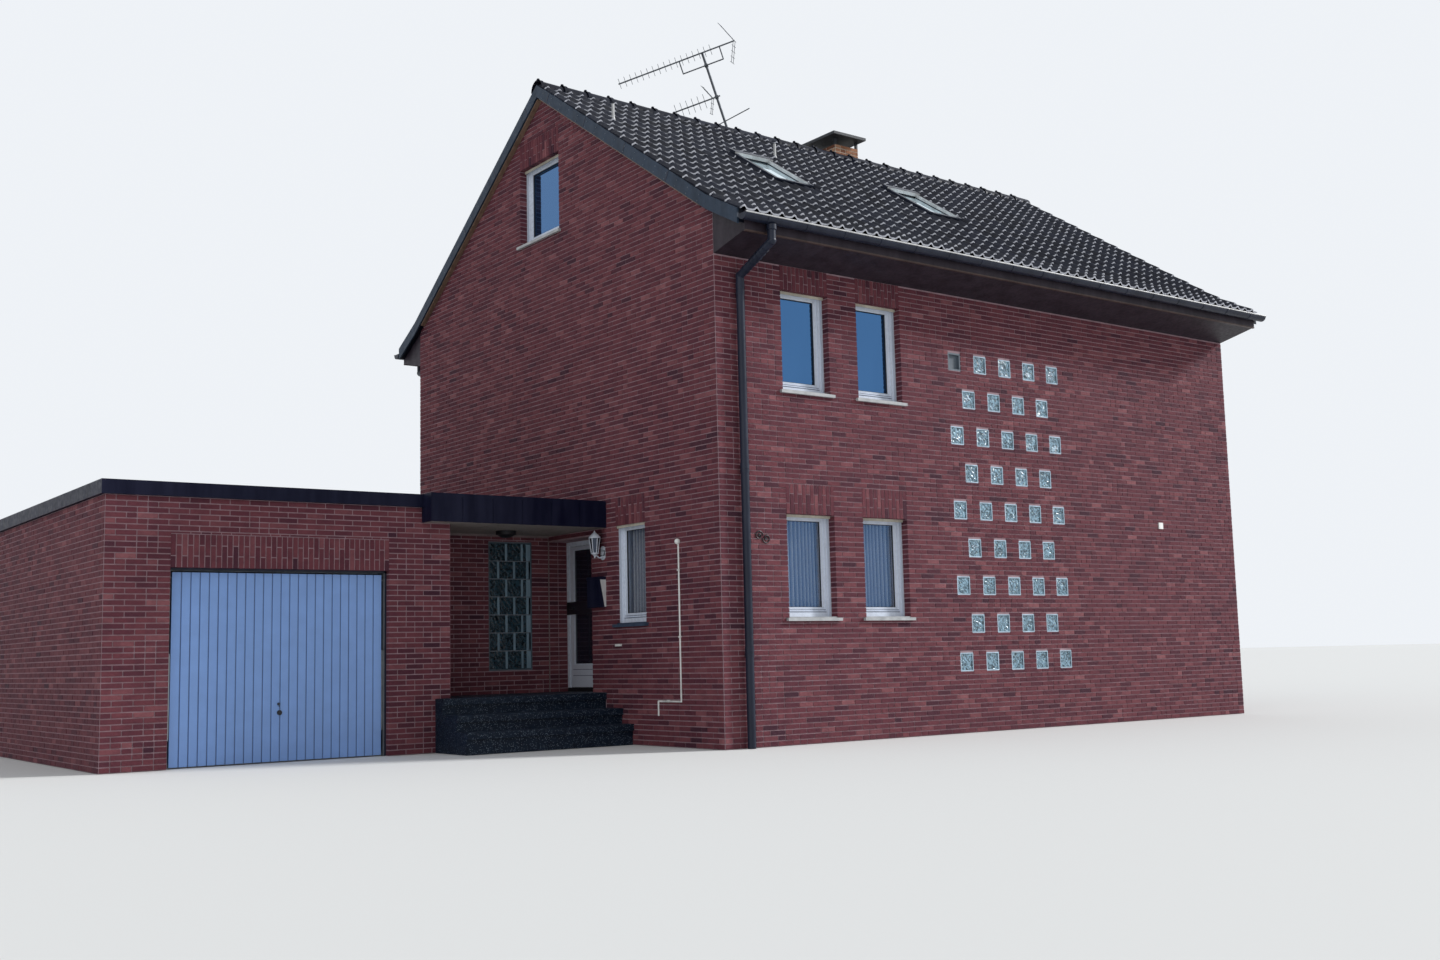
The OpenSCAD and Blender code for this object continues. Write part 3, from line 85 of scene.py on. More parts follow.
class Finish:
    """A node material, with short calls for the nodes that the finishes share."""

    def __init__(self, name, colour=(0.5, 0.5, 0.5), roughness=0.5, **sockets):
        FINISHES[name] = material = bpy.data.materials.new(name)
        material.use_nodes = True
        self.tree = material.node_tree
        self.surface = self.tree.nodes["Principled BSDF"]
        sockets.update(Base_Color=(*colour, 1), Roughness=roughness)
        for key, value in sockets.items():
            self.surface.inputs[key.replace("_", " ")].default_value = value
        self.place = self.tree.nodes.new("ShaderNodeTexCoord").outputs["Object"]

    def feed(self, socket, value):
        """Links a socket to another node's output, or sets it to a plain value."""
        if isinstance(value, bpy.types.NodeSocket):
            self.tree.links.new(value, socket)
        else:
            socket.default_value = value

    def add(self, kind, settings=None, **inputs):
        """A new shader node with its settings and what feeds its inputs."""
        made = self.tree.nodes.new("ShaderNode" + kind)
        for key, value in (settings or {}).items():
            setattr(made, key, value)
        for key, value in inputs.items():
            self.feed(made.inputs[key.replace("_", " ")], value)
        return made

    def stretched(self, scale):
        return self.add("Mapping", Vector=self.place, Scale=scale).outputs[0]

    def noise(self, scale, detail=3.0, roughness=0.55, where=None, distortion=0.0):
        return self.add("TexNoise", Vector=where or self.place, Scale=scale, Detail=detail,
                        Roughness=roughness, Distortion=distortion).outputs["Fac"]

    def cells(self, scale, output="Distance"):
        return self.add("TexVoronoi", Vector=self.place, Scale=scale).outputs[output]

    def waves(self, direction, scale, distortion=0.0):
        bands = {"wave_type": "BANDS", "bands_direction": direction}
        return self.add("TexWave", bands, Vector=self.place, Scale=scale,
                        Distortion=distortion).outputs["Fac"]

    def along(self, axis):
        """The place on one axis, 0 for x to 2 for z, in metres."""
        return self.add("SeparateXYZ", Vector=self.place).outputs[axis]

    def attribute(self, name):
        return self.add("Attribute", {"attribute_name": name}).outputs["Fac"]

    def ramp(self, factor, stops):
        made = self.add("ValToRGB", Fac=factor)
        band = made.color_ramp
        while len(band.elements) < len(stops):
            band.elements.new(0.5)
        for element, (position, colour) in zip(band.elements, stops):
            element.position = position
            element.color = (*colour, 1)
        return made.outputs["Color"]

    def cloudy(self, pattern, dark, light):
        """Two tones that run into each other with a pattern."""
        return self.ramp(pattern, [(0.3, dark), (0.7, light)])

    def mixed(self, factor, a, b):
        made = self.add("Mix", {"data_type": "RGBA"})
        for index, value in ((0, factor), (6, a), (7, b)):
            self.feed(made.inputs[index], (*value, 1) if isinstance(value, tuple) else value)
        return made.outputs[2]

    def spread(self, value, low, high, out_low=0.0, out_high=1.0):
        """Takes one range of a value to another."""
        return self.add("MapRange", Value=value, From_Min=low, From_Max=high, To_Min=out_low,
                        To_Max=out_high).outputs[0]

    def math(self, operation, a, b):
        made = self.add("Math", {"operation": operation})
        self.feed(made.inputs[0], a)
        self.feed(made.inputs[1], b)
        return made.outputs[0]

    def colour(self, value):
        self.feed(self.surface.inputs["Base Color"], value)

    def rough(self, pattern, low, high):
        """Roughness that runs between two values with a pattern."""
        self.feed(self.surface.inputs["Roughness"], self.spread(pattern, 0.3, 0.7, low, high))

    def over(self, base, colour, mask, amount):
        """A colour laid over another where a mask shows it, at most by an amount."""
        return self.mixed(self.math("MULTIPLY", mask, amount), base, colour)

    def bumps(self, *layers):
        """Bump layers, each a height, a strength and a depth in metres."""
        normal = None
        for height, strength, depth in layers:
            made = self.add("Bump", Strength=strength, Distance=depth, Height=height)
            if normal:
                self.feed(made.inputs["Normal"], normal)
            normal = made.outputs["Normal"]
        self.feed(self.surface.inputs["Normal"], normal)


def brick_finish(name, stops):
    """Rough-faced brick: each brick has its own tone, with fire marks and a torn face."""
    f = Finish(name, roughness=0.85, Specular_IOR_Level=0.12)
    base = f.ramp(f.attribute("tint"), stops)
    marks = f.spread(f.noise(9, 4, 0.6), 0.42, 0.7)
    shaded = f.over(base, stops[0][1], marks, 0.4)
    speckle = f.spread(f.noise(140, 2, 0.7), 0.55, 0.8)
    f.colour(f.over(shaded, stops[-1][1], speckle, 0.3))
    f.rough(f.noise(35), 0.62, 0.9)
    torn = f.noise(26, 5, 0.62, where=f.stretched((1, 1, 1.8)), distortion=0.4)
    f.bumps((torn, 0.9, 0.012), (f.noise(160, 3), 0.5, 0.002))


RED_BRICK = [(0.0, (0.052, 0.018, 0.03)), (0.35, (0.11, 0.031, 0.043)),
             (0.7, (0.155, 0.046, 0.057)), (1.0, (0.24, 0.09, 0.1))]
LIT_BRICK = [(0.0, (0.08, 0.03, 0.02)), (0.4, (0.21, 0.085, 0.05)),
             (0.75, (0.38, 0.18, 0.1)), (1.0, (0.55, 0.34, 0.22))]
brick_finish("red_brick", RED_BRICK)
brick_finish("chimney_brick", LIT_BRICK)


def mortar_finish(name, dark, light):
    """The face of the walls, seen as joints between the bricks."""
    f = Finish(name, roughness=0.95, Specular_IOR_Level=0.1)
    f.colour(f.cloudy(f.noise(7, 5), dark, light))
    f.bumps((f.noise(220, 4), 0.5, 0.002))


mortar_finish("mortar", (0.27, 0.18, 0.2), (0.39, 0.27, 0.3))
mortar_finish("pale_mortar", (0.6, 0.54, 0.45), (0.78, 0.71, 0.6))


def tile_finish():
    """Dark pantiles with a little lichen, a pale painted highlight along their cut noses."""
    f = Finish("roof_tile", roughness=0.5, Specular_IOR_Level=0.1)
    base = f.ramp(f.attribute("tint"), [(0.0, (0.004, 0.005, 0.011)), (1.0, (0.014, 0.017, 0.031))])
    lichen = f.spread(f.noise(5, 6, 0.6), 0.55, 0.75)
    grown = f.over(base, (0.038, 0.04, 0.048), lichen, 0.3)
    # Painted highlight: the nose strip of each tile goes pale grey, broken into dashes by a noise.
    highlight_dashes = f.spread(f.noise(22, 3), 0.3, 0.44)
    f.colour(f.over(grown, (0.74, 0.75, 0.82), f.attribute("nose"), highlight_dashes))
    f.rough(f.noise(18, 4), 0.4, 0.6)
    f.bumps((f.noise(300, 3), 0.3, 0.0008))


tile_finish()


def board_finish(name, colour, roughness, shine=0.5, wear=0.28):
    """Flat cladding board or sheet, weathered in soft streaks that run down."""
    f = Finish(name, roughness=roughness, Specular_IOR_Level=shine)
    streak = f.noise(6, 4, 0.6, where=f.stretched((1, 1, 0.15)))
    dark = tuple(c * (1 - wear) for c in colour)
    light = tuple(min(1.0, c * (1 + wear * 0.9) + wear * 0.035) for c in colour)
    f.colour(f.cloudy(streak, dark, light))
    f.rough(f.noise(20, 3), roughness - 0.08, roughness + 0.1)
    f.bumps((f.noise(90, 3), 0.2, 0.0008))


# Each board or sheet: its colour, roughness, shine and wear
BOARDS = {
    "slate_board": ((0.012, 0.026, 0.05), 0.5, 0.24),
    "fascia_board": ((0.002, 0.003, 0.018), 0.45, 0.1),
    "dark_metal": ((0.009, 0.013, 0.029), 0.36, 0.24),
    # Eaves boards: a dark stain, made darker still as painted shade under the eaves.
    "eaves_stain_and_shade": ((0.02, 0.013, 0.021), 0.5, 0.22),
    "strip_stain": ((0.06, 0.036, 0.03), 0.5, 0.3),
    "roofing_felt": ((0.11, 0.11, 0.105), 0.9),
    "concrete": ((0.36, 0.35, 0.33), 0.9),
    "white_frame": ((0.66, 0.715, 0.82), 0.28, 0.5, 0.07),
    "white_plastic": ((0.7, 0.7, 0.68), 0.45),
    "shutter_slat": ((0.5, 0.47, 0.39), 0.45),
    "seal": ((0.02, 0.02, 0.024), 0.6),
    # Painted shadow: the dark blue of the groove strips on sashes and door.
    "groove_shade_blue": ((0.03, 0.05, 0.12), 0.5),
    "sealant": ((0.2, 0.15, 0.15), 0.8),
    "lead_sheet": ((0.095, 0.12, 0.15), 0.42),
    # Pale grey: the vent pipes' own colour, and painted light on the gutter beads, roof window
    # trims and letterbox cheek.
    "bright_trim": ((0.5, 0.5, 0.5), 0.35),
    "shutter_rail": ((0.5, 0.54, 0.62), 0.4, 0.5, 0.1),
    "block_end": ((0.2, 0.29, 0.36), 0.2),
    "panel_frame": ((0.07, 0.1, 0.125), 0.4),
    "block_rim": ((0.42, 0.54, 0.64), 0.18),
    "glass_joint": ((0.16, 0.18, 0.21), 0.7),
}
for board, values in BOARDS.items():
    board_finish(board, *values)


def sill_finish():
    """Light cast sills, and a dark slate one under the hall window beside the porch."""
    f = Finish("sill_stone", roughness=0.6)
    light = f.cloudy(f.noise(8, 4), (0.3, 0.31, 0.32), (0.46, 0.47, 0.48))
    slate = f.cloudy(f.noise(12, 4), (0.02, 0.034, 0.06), (0.045, 0.068, 0.115))
    hall = f.math("MULTIPLY", f.math("LESS_THAN", f.along(0), 0.5 - MIDDLE.x),
                  f.math("LESS_THAN", f.along(2), FLOOR_Z + STOREY))
    f.colour(f.mixed(hall, light, slate))
    f.bumps((f.noise(90, 3), 0.25, 0.0008))


sill_finish()


def timber_finish():
    """Planed timber under a thin brown stain."""
    f = Finish("stained_timber", roughness=0.5)
    grain = f.noise(30, 5, 0.6, where=f.stretched((0.6, 0.15, 0.6)), distortion=1.2)
    f.colour(f.cloudy(grain, (0.12, 0.075, 0.05), (0.26, 0.17, 0.12)))
    f.bumps((grain, 0.3, 0.0008))


timber_finish()


def soffit_finish():
    """Grooved soffit boards in a warm grey, laid across the canopy."""
    f = Finish("soffit_board", roughness=0.55)
    line = f.spread(f.waves("Y", 3.1), 0.0, 0.06)
    tone = f.cloudy(f.noise(8, 4), (0.2, 0.18, 0.165), (0.3, 0.27, 0.25))
    f.colour(f.mixed(line, (0.1, 0.09, 0.08), tone))
    f.bumps((line, 0.6, 0.004))


soffit_finish()


def aggregate_finish():
    """Washed stone: paler chips in a blue-black bed, partly the stone's own dark and partly painted
    shade.
    """
    f = Finish("washed_stone", roughness=0.55, Specular_IOR_Level=0.2)
    chips, edge = f.add("SeparateColor", Color=f.cells(85, "Color")).outputs[0], f.cells(85)
    pale = f.math("MULTIPLY", f.math("GREATER_THAN", chips, 0.72),
                  f.math("LESS_THAN", edge, 0.42))
    # Partly painted shade: the bed is kept near black.
    bed = f.cloudy(f.noise(12, 5), (0.001, 0.005, 0.014), (0.005, 0.013, 0.028))
    f.colour(f.over(bed, (0.25, 0.3, 0.36), pale, 0.4))
    f.rough(f.noise(30), 0.4, 0.7)
    f.bumps((edge, 0.25, 0.0015))


aggregate_finish()


def steel_finish(name, colour, roughness, metallic):
    """Rolled or painted metal, dulled in clouds."""
    f = Finish(name, roughness=roughness, Metallic=metallic)
    dull = tuple(c * 0.8 for c in colour)
    f.colour(f.cloudy(f.noise(14, 5), dull, colour))
    f.rough(f.noise(40, 4), roughness - 0.06, roughness + 0.12)
    f.bumps((f.noise(120), 0.1, 0.0006))


steel_finish("galvanised", (0.3, 0.32, 0.34), 0.45, 0.8)
steel_finish("aerial_steel", (0.1, 0.11, 0.125), 0.5, 0.7)
steel_finish("cover_metal", (0.018, 0.022, 0.03), 0.6, 0.0)
steel_finish("white_steel", (0.6, 0.64, 0.72), 0.35, 0.0)
steel_finish("black_iron", (0.02, 0.02, 0.024), 0.45, 0.4)


def door_glass_finish():
    """Dark smooth glass that hardly lets the hall show through."""
    f = Finish("door_glass", (0.012, 0.015, 0.028), IOR=1.5, Transmission_Weight=0.1)
    f.rough(f.noise(3, 3), 0.02, 0.04)
    f.bumps((f.noise(1.1, 2), 0.04, 0.01))


door_glass_finish()


def mirror_finish(name, colour, low_clear=0.0):
    """Coated glazing that mirrors the sky; under the first floor it is partly clear."""
    f = Finish(name, colour, 0.03, Metallic=0.9)
    if low_clear:
        upstairs = f.spread(f.along(2), 3.1, 3.3, 1.0 - low_clear, 1.0)
        f.feed(f.surface.inputs["Alpha"], upstairs)
    f.bumps((f.noise(1.1, 2), 0.04, 0.01))


mirror_finish("window_glass", (0.058, 0.158, 0.34), 0.7)
mirror_finish("roof_glass", (0.72, 0.9, 0.98))


def net_finish():
    """White net cloth, its folds told apart by a soft grey that is painted shade."""
    f = Finish("net_cloth", (0.62, 0.66, 0.72), 0.9)
    weave = f.noise(60, 3, where=f.stretched((1, 1, 0.2)))
    thick = f.cloudy(weave, (0.76, 0.8, 0.88), (0.94, 0.95, 0.98))
    # Painted shade: grey in the hollows of the folds, white on their ridges.
    f.colour(f.mixed(f.spread(f.attribute("fold_shade"), -0.9, 0.9), (0.26, 0.31, 0.42), thick))


net_finish()
mirror_finish("lantern_glass", (0.05, 0.06, 0.085))


def block_finish(name, colour, wave_count=9.0):
    """Pressed glass with a wavy, watery face."""
    f = Finish(name, colour, 0.07, IOR=1.5, Transmission_Weight=0.25)
    wave = f.waves("DIAGONAL", wave_count, distortion=9.0)
    swirl = f.noise(24, 2, 0.5, distortion=1.6)
    deep = tuple(c * 0.16 for c in colour)
    f.colour(f.ramp(swirl, [(0.38, deep), (0.62, colour)]))
    f.bumps((wave, 0.6, 0.006), (swirl, 0.8, 0.01))


block_finish("block_glass", (0.34, 0.54, 0.68))
block_finish("porch_glass", (0.035, 0.085, 0.12), 6.0)


def two_part_finish(name, colour, fitting, axis, level, groove=None):
    """A painted leaf with darker fittings on its face, and painted shade on the floor of each
    groove.
    """
    f = Finish(name, colour, 0.32)
    dull = tuple(c * 0.92 for c in colour)
    paint = f.cloudy(f.noise(5, 4), dull, colour)
    if groove:
        # Painted shade: the floor of each groove is darkened towards the fitting colour.
        deep = f.math("GREATER_THAN", f.along(axis), level + groove)
        paint = f.over(paint, fitting, deep, 0.45)
    proud = f.math("LESS_THAN", f.along(axis), level - 0.0015)
    f.colour(f.mixed(proud, paint, fitting))


two_part_finish("door_paint", (0.6, 0.63, 0.72), (0.012, 0.012, 0.02), 0,
                DOOR_FACE_X - HOUSE_W / 2)
two_part_finish("panel_paint", (0.2, 0.35, 0.7), (0.03, 0.035, 0.05), 1,
                PANEL_FACE_Y - HOUSE_D / 2, 0.004)

# Mesh helpers


def mesh_of(name, bm):
    """A mesh made from a bmesh, which is used up."""
    mesh = bpy.data.meshes.new(name)
    bm.to_mesh(mesh)
    bm.free()
    return mesh


def add_object(name, data):
    """A new object in the scene."""
    made = bpy.data.objects.new(name, data)
    bpy.context.scene.collection.objects.link(made)
    return made


def piece(name, bm, finish, body="house", smooth=False):
    """Turns a bmesh into a piece of the house that rides on a body."""
    bmesh.ops.recalc_face_normals(bm, faces=bm.faces)
    return mesh_piece(name, mesh_of(name, bm), finish, body, smooth)


def mesh_piece(name, mesh, finish, body="house", smooth=False):
    made = add_object(name, mesh)
    coat(mesh, finish)
    if smooth:
        mesh.polygons.foreach_set("use_smooth", [True] * len(mesh.polygons))
        mesh.set_sharp_from_angle(angle=math.radians(40))
    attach(made, body)
    return made


def coat(mesh, finish):
    """Gives a mesh one finish, in place of what it had."""
    mesh.materials.clear()
    mesh.materials.append(FINISHES[finish])


def blanks(count):
    """Empty shapes, one for each piece."""
    return [bmesh.new() for _ in range(count)]


def add_box(bm, low, high):
    """A box between two points given from the house corner."""
    a, b = corner(*low), corner(*high)
    size = [abs(q - p) for p, q in zip(a, b)]
    place = Matrix.LocRotScale((a + b) / 2, None, Vector(size))
    return bmesh.ops.create_cube(bm, size=1, matrix=place)["verts"]


def add_cone(bm, place, radius, tip, depth, sides):
    bmesh.ops.create_cone(bm, cap_ends=True, segments=sides, radius1=radius, radius2=tip,
                          depth=depth, matrix=place)


def add_tube(bm, start, end, radius, sides=12, tip=None):
    """A round bar between two points given from the house corner."""
    a, b = corner(*start), corner(*end)
    place = Matrix.LocRotScale((a + b) / 2, (b - a).to_track_quat("Z", "Y"), None)
    add_cone(bm, place, radius, radius if tip is None else tip, (b - a).length, sides)


def add_ball(bm, point, radius, rounds):
    """A ball at a point given from the house corner."""
    bmesh.ops.create_uvsphere(bm, u_segments=rounds[0], v_segments=rounds[1], radius=radius,
                              matrix=Matrix.Translation(corner(*point)))


def add_rod(bm, points, radius, sides):
    """A rod bent through points, as short round bars end to end."""
    for a, b in zip(points, points[1:]):
        add_tube(bm, a, b, radius, sides)


def box_piece(name, finish, boxes, body="house"):
    """A piece made of bars, each given by two points from the house corner."""
    bm = bmesh.new()
    for low, high in boxes:
        add_box(bm, low, high)
    piece(name, bm, finish, body)


def frame_bars(across, up, bar, lap=True):
    """Posts and rails round a frame, as two ranges each; rails lap the posts or stop there."""
    (a, b), (low, high) = across, up
    rail = (a, b) if lap else (a + bar, b - bar)
    return [((a, a + bar), up), ((b - bar, b), up),
            (rail, (low, low + bar)), (rail, (high - bar, high))]


def scatter_tree(unit):
    """A node tree that puts the unit on every point, sized and turned by the point's values."""
    tree = bpy.data.node_groups.new("lay_" + unit.name, "GeometryNodeTree")
    tree.interface.new_socket("Geometry", in_out="INPUT", socket_type="NodeSocketGeometry")
    tree.interface.new_socket("Geometry", in_out="OUTPUT", socket_type="NodeSocketGeometry")
    add = tree.nodes.new
    start, end = add("NodeGroupInput"), add("NodeGroupOutput")
    lay, real = add("GeometryNodeInstanceOnPoints"), add("GeometryNodeRealizeInstances")
    info = add("GeometryNodeObjectInfo")
    info.inputs["Object"].default_value = unit
    tree.links.new(start.outputs[0], lay.inputs["Points"])
    tree.links.new(info.outputs["Geometry"], lay.inputs["Instance"])
    for name, socket in (("size", "Scale"), ("turn", "Rotation")):
        value = add("GeometryNodeInputNamedAttribute")
        value.data_type = "FLOAT_VECTOR"
        value.inputs["Name"].default_value = name
        tree.links.new(value.outputs["Attribute"], lay.inputs[socket])
    tree.links.new(lay.outputs[0], real.inputs[0])
    tree.links.new(real.outputs[0], end.inputs[0])
    return tree


def scatter(name, unit_bm, places, finish, smooth=False):
    """Many copies of one small shape as a single piece.

    A place is (point from the corner, size, turn, tint).
    """
    unit = add_object(name + "_unit", mesh_of(name + "_unit", unit_bm))
    cloud = bpy.data.meshes.new(name + "_places")
    cloud.vertices.add(len(places))
    cloud.vertices.foreach_set("co", [c for p in places for c in corner(*p[0])])
    for key, column in (("size", 1), ("turn", 2)):
        layer = cloud.attributes.new(key, "FLOAT_VECTOR", "POINT")
        layer.data.foreach_set("vector", [c for p in places for c in p[column]])
    tints = cloud.attributes.new("tint", "FLOAT", "POINT")
    tints.data.foreach_set("value", [p[3] for p in places])
    laid = add_object(name + "_laid", cloud)
    modifier = laid.modifiers.new("lay", "NODES")
    modifier.node_group = scatter_tree(unit)
    view_graph = bpy.context.evaluated_depsgraph_get()
    mesh = bpy.data.meshes.new_from_object(laid.evaluated_get(view_graph))
    mesh.name = name
    for key in ("size", "turn"):
        mesh.attributes.remove(mesh.attributes[key])
    for obj in (laid, unit):
        bpy.data.objects.remove(obj)
    return mesh_piece(name, mesh, finish, "house", smooth)


def unit_box():
    bm = bmesh.new()
    bmesh.ops.create_cube(bm, size=1)
    return bm


# Masonry

COURSE, BED = 0.0625, 0.0125
LONG, SHORT, JOINT = 0.210, 0.100, 0.012
PROUD, SKIN, DEEP = 0.007, 0.012, 0.115
SOLDIER_H, GABLE_TOP = 0.365, 9.1
SLIVER, EDGE_GAP = 0.012, 0.004
LANDING_Y, CANOPY_Y, PANEL_HOLE = 2.49, 2.44, (-0.93, -0.265, 0.945, 2.665)
NO_TURN = (0.0, 0.0, 0.0)


class Face:
    """A flat side of the masonry that runs from a corner along x or y and faces out."""

    def __init__(self, x, y, axis, side):
        self.start = Vector((x, y, 0))
        self.along, self.out = Vector((1, 0, 0)), Vector((0, side, 0))
        if axis == "y":
            self.along, self.out = Vector((0, 1, 0)), Vector((side, 0, 0))

    def brick(self, rng, middle, length, low, high, depth=SKIN):
        """One brick, its middle at a distance along the face."""
        proud = PROUD + rng.uniform(-0.0015, 0.0015)
        point = self.start + self.along * middle + self.out * (proud - depth) / 2
        size = [abs(self.along[i]) * length + abs(self.out[i]) * (proud + depth)
                for i in range(2)]
        return ((point.x, point.y, (low + high) / 2), (*size, high - low), NO_TURN,
                min(1.0, max(0.0, rng.gauss(0.5, 0.2))))


FRONT, REAR = Face(0, 0, "x", -1), Face(0, HOUSE_D, "x", 1)
LEFT, RIGHT = Face(0, 0, "y", -1), Face(HOUSE_W, 0, "y", 1)


def clear_height(holes, s, low, high):
    """What is left of a course at a distance along the wall, between the openings."""
    for s0, s1, z0, z1 in holes:
        if s0 < s < s1 and z0 < high and z1 > low:
            if z1 < high:
                low = max(low, z1 + EDGE_GAP)
            elif z0 > low:
                high = min(high, z0 - EDGE_GAP)
            else:
                return None
    return (low, high) if high - low > SLIVER else None


def lay_course(places, face, rng, start, end, low, high, below, jambs):
    """Bricks of a wild bond between two points, their joints kept off those below."""
    s, joints = start, []
    while end - s > 0.03:
        left = end - s
        length = LONG if rng.random() < 0.6 else SHORT
        if any(abs(s + length + JOINT / 2 - j) < 0.035 for j in below):
            length = LONG + SHORT - length
        if left - length < 0.07:
            length = left
        if length > LONG + 0.05:
            length = left / 2 - JOINT / 2
        at_start = s == start and jambs[0]
        at_end = abs(s + length - end) < 0.002 and jambs[1]
        a = s - (0.003 if at_start else 0)
        b = s + length + (0.003 if at_end else 0)
        depth = DEEP if at_start or at_end else SKIN
        places.append(face.brick(rng, (a + b) / 2, b - a, low, high, depth))
        s += length + JOINT
        joints.append(s - JOINT / 2)
    return joints


def lay_wall(places, face, span, holes, z0, z1, seed):
    """Fills a face with courses; span gives its two ends at a height."""
    rng = random.Random(seed)
    below = []
    for k in range(round(z0 / COURSE), math.ceil(z1 / COURSE)):
        low, high = k * COURSE + BED / 2, (k + 1) * COURSE - BED / 2
        low, high = max(low, z0), min(high, z1)
        if high - low < SLIVER:
            continue
        s0, s1 = span(low)
        cuts = sorted({s0, s1} | {c for h in holes for c in h[:2] if s0 < c < s1})
        runs = []
        for a, b in zip(cuts, cuts[1:]):
            room = clear_height(holes, (a + b) / 2, low, high)
            if room and runs and runs[-1][1] == a and runs[-1][2] == room:
                runs[-1][1] = b
            elif room:
                runs.append([a, b, room])
        joints = []
        for a, b, room in runs:
            jambs = (a > s0 + 0.01, b < s1 - 0.01)
            joints += lay_course(places, face, rng, a + (0 if jambs[0] else JOINT / 2),
                                 b - (0 if jambs[1] else JOINT / 2), *room, below, jambs)
        below = joints


def lay_soldiers(places, face, s0, s1, z0, z1, seed):
    """Upright bricks over an opening, a brick and a half high."""
    rng = random.Random(seed)
    count = round((s1 - s0) / COURSE)
    step = (s1 - s0) / count
    split = (z1 - z0) * 0.66
    for i in range(count):
        s = s0 + (i + 0.5) * step
        joint = z0 + (split if i % 2 else z1 - z0 - split)
        foot = z0 - 0.003
        places.append(face.brick(rng, s, step - JOINT, foot, joint - JOINT / 2, DEEP))
        places.append(face.brick(rng, s, step - JOINT, joint + JOINT / 2, z1 - 0.006))


def window_holes(openings, top=math.inf):
    """Openings as holes in the bond, each with the band of soldiers over it."""
    return [(s, s + w, z, min(z + h + SOLDIER_H, top)) for s, z, w, h in openings]


def soldier_bands(face, openings, top=math.inf):
    return [(face, s, s + w, z + h, min(z + h + SOLDIER_H, top)) for s, z, w, h in openings]


FRONT_WINDOWS = [(x, FLOOR_Z + SILL + f * STOREY, WINDOW_W, WINDOW_H)
                 for x in WINDOW_X for f in (0, 1)]
REAR_WINDOWS = FRONT_WINDOWS + [(HOUSE_W - x - WINDOW_W, z, w, h)
                                for x, z, w, h in FRONT_WINDOWS]
SIDE_MIDDLE = 4.08
SIDE_X = HOUSE_D - SIDE_MIDDLE - WINDOW_W / 2
RIGHT_WINDOWS = [ATTIC_WINDOW] + [(SIDE_X, FLOOR_Z + SILL + f * STOREY, WINDOW_W, WINDOW_H)
                                  for f in (0, 1)]
SOFFIT_Z = 5.828


def gable_span(z):
    """Ends of the gable wall at a height: upright, then along the roof's underside."""
    inset = max(0.0, (z - (EAVES_Z - ROOF_T)) / math.tan(PITCH))
    return inset, HOUSE_D - inset


def level(start, end):
    """The ends of a wall that are the same at every height."""
    return lambda z: (start, end)


def lay_masonry():
    """Walls are (face, ends, holes, foot, top), bands (face, start, end, foot, top)."""
    half = BLOCK / 2 + EDGE_GAP
    block_holes = [(x - half, x + half, z - half, z + half) for x, z in BLOCK_PLACES]
    left_windows = [HALL_WINDOW, ATTIC_WINDOW]
    left_holes = [(DOORWAY_Y, PORCH_BACK, 0, DOORWAY_TOP), (LANDING_Y, PORCH_BACK, -1, FLOOR_Z),
                  (CANOPY_Y, PORCH_BACK, CANOPY_Z, CANOPY_TOP - 0.03),
                  (PORCH_BACK, HOUSE_D, -1, GARAGE_H + 0.13)]
    door_x0, door_x1, door_top = GARAGE_OPENING
    s0, s1 = door_x0 - GARAGE_X, door_x1 - GARAGE_X
    panel_hole = (PANEL_HOLE[0] - PORCH_X, PANEL_HOLE[1] - PORCH_X, *PANEL_HOLE[2:])
    garage_front = Face(GARAGE_X, GARAGE_Y, "x", -1)
    walls = {
        "front_bricks": [(FRONT, level(0, HOUSE_W),
                          window_holes(FRONT_WINDOWS, SOFFIT_Z) + block_holes, 0, SOFFIT_Z)],
        "rear_bricks": [(REAR, level(0, HOUSE_W), window_holes(REAR_WINDOWS, SOFFIT_Z), 0,
                         SOFFIT_Z)],
        "right_gable_bricks": [(RIGHT, gable_span, window_holes(RIGHT_WINDOWS), 0, GABLE_TOP)],
        "left_gable_bricks": [(LEFT, gable_span, window_holes(left_windows) + left_holes, 0,
                               GABLE_TOP)],
        "annex_bricks": [
            (garage_front, level(0, PORCH_X - GARAGE_X), [(s0, s1, -1, door_top + SOLDIER_H)],
             0, GARAGE_H),
            (Face(GARAGE_X, GARAGE_Y, "y", -1), level(0, ANNEX_BACK - GARAGE_Y), [], 0, GARAGE_H),
            (Face(GARAGE_X, ANNEX_BACK, "x", 1), level(0, -GARAGE_X), [], 0, GARAGE_H),
            (Face(0, HOUSE_D, "y", 1), level(0.01, ANNEX_BACK - HOUSE_D), [], 0, GARAGE_H),
            (Face(PORCH_X, GARAGE_Y, "y", 1), level(0, PORCH_BACK - GARAGE_Y), [], FLOOR_Z,
             CANOPY_Z),
            (Face(PORCH_X, PORCH_BACK, "x", -1), level(0, -PORCH_X), [panel_hole], FLOOR_Z,
             CANOPY_Z),
            (Face(0, PORCH_BACK, "x", -1), level(EDGE_GAP, NICHE), [], FLOOR_Z, DOORWAY_TOP),
            (Face(0, DOORWAY_Y, "x", 1), level(EDGE_GAP, NICHE), [], FLOOR_Z, DOORWAY_TOP)],
    }
    bands = {
        "front_bricks": soldier_bands(FRONT, FRONT_WINDOWS, SOFFIT_Z),
        "rear_bricks": soldier_bands(REAR, REAR_WINDOWS, SOFFIT_Z),
        "right_gable_bricks": soldier_bands(RIGHT, RIGHT_WINDOWS),
        "left_gable_bricks": soldier_bands(LEFT, left_windows),
        "annex_bricks": [(garage_front, s0, s1, door_top, door_top + SOLDIER_H)],
    }
    for number, name in enumerate(walls):
        places = []
        for i, wall in enumerate(walls[name]):
            lay_wall(places, *wall, 31 * number + i + 1)
        for i, band in enumerate(bands[name]):
            lay_soldiers(places, *band, 500 + 17 * number + i)
        scatter(name, unit_box(), places, "red_brick")


lay_masonry()

CHIMNEY = (5.56, 6.06, RIDGE_Y + 0.01, RIDGE_Y + 0.63, 9.43)


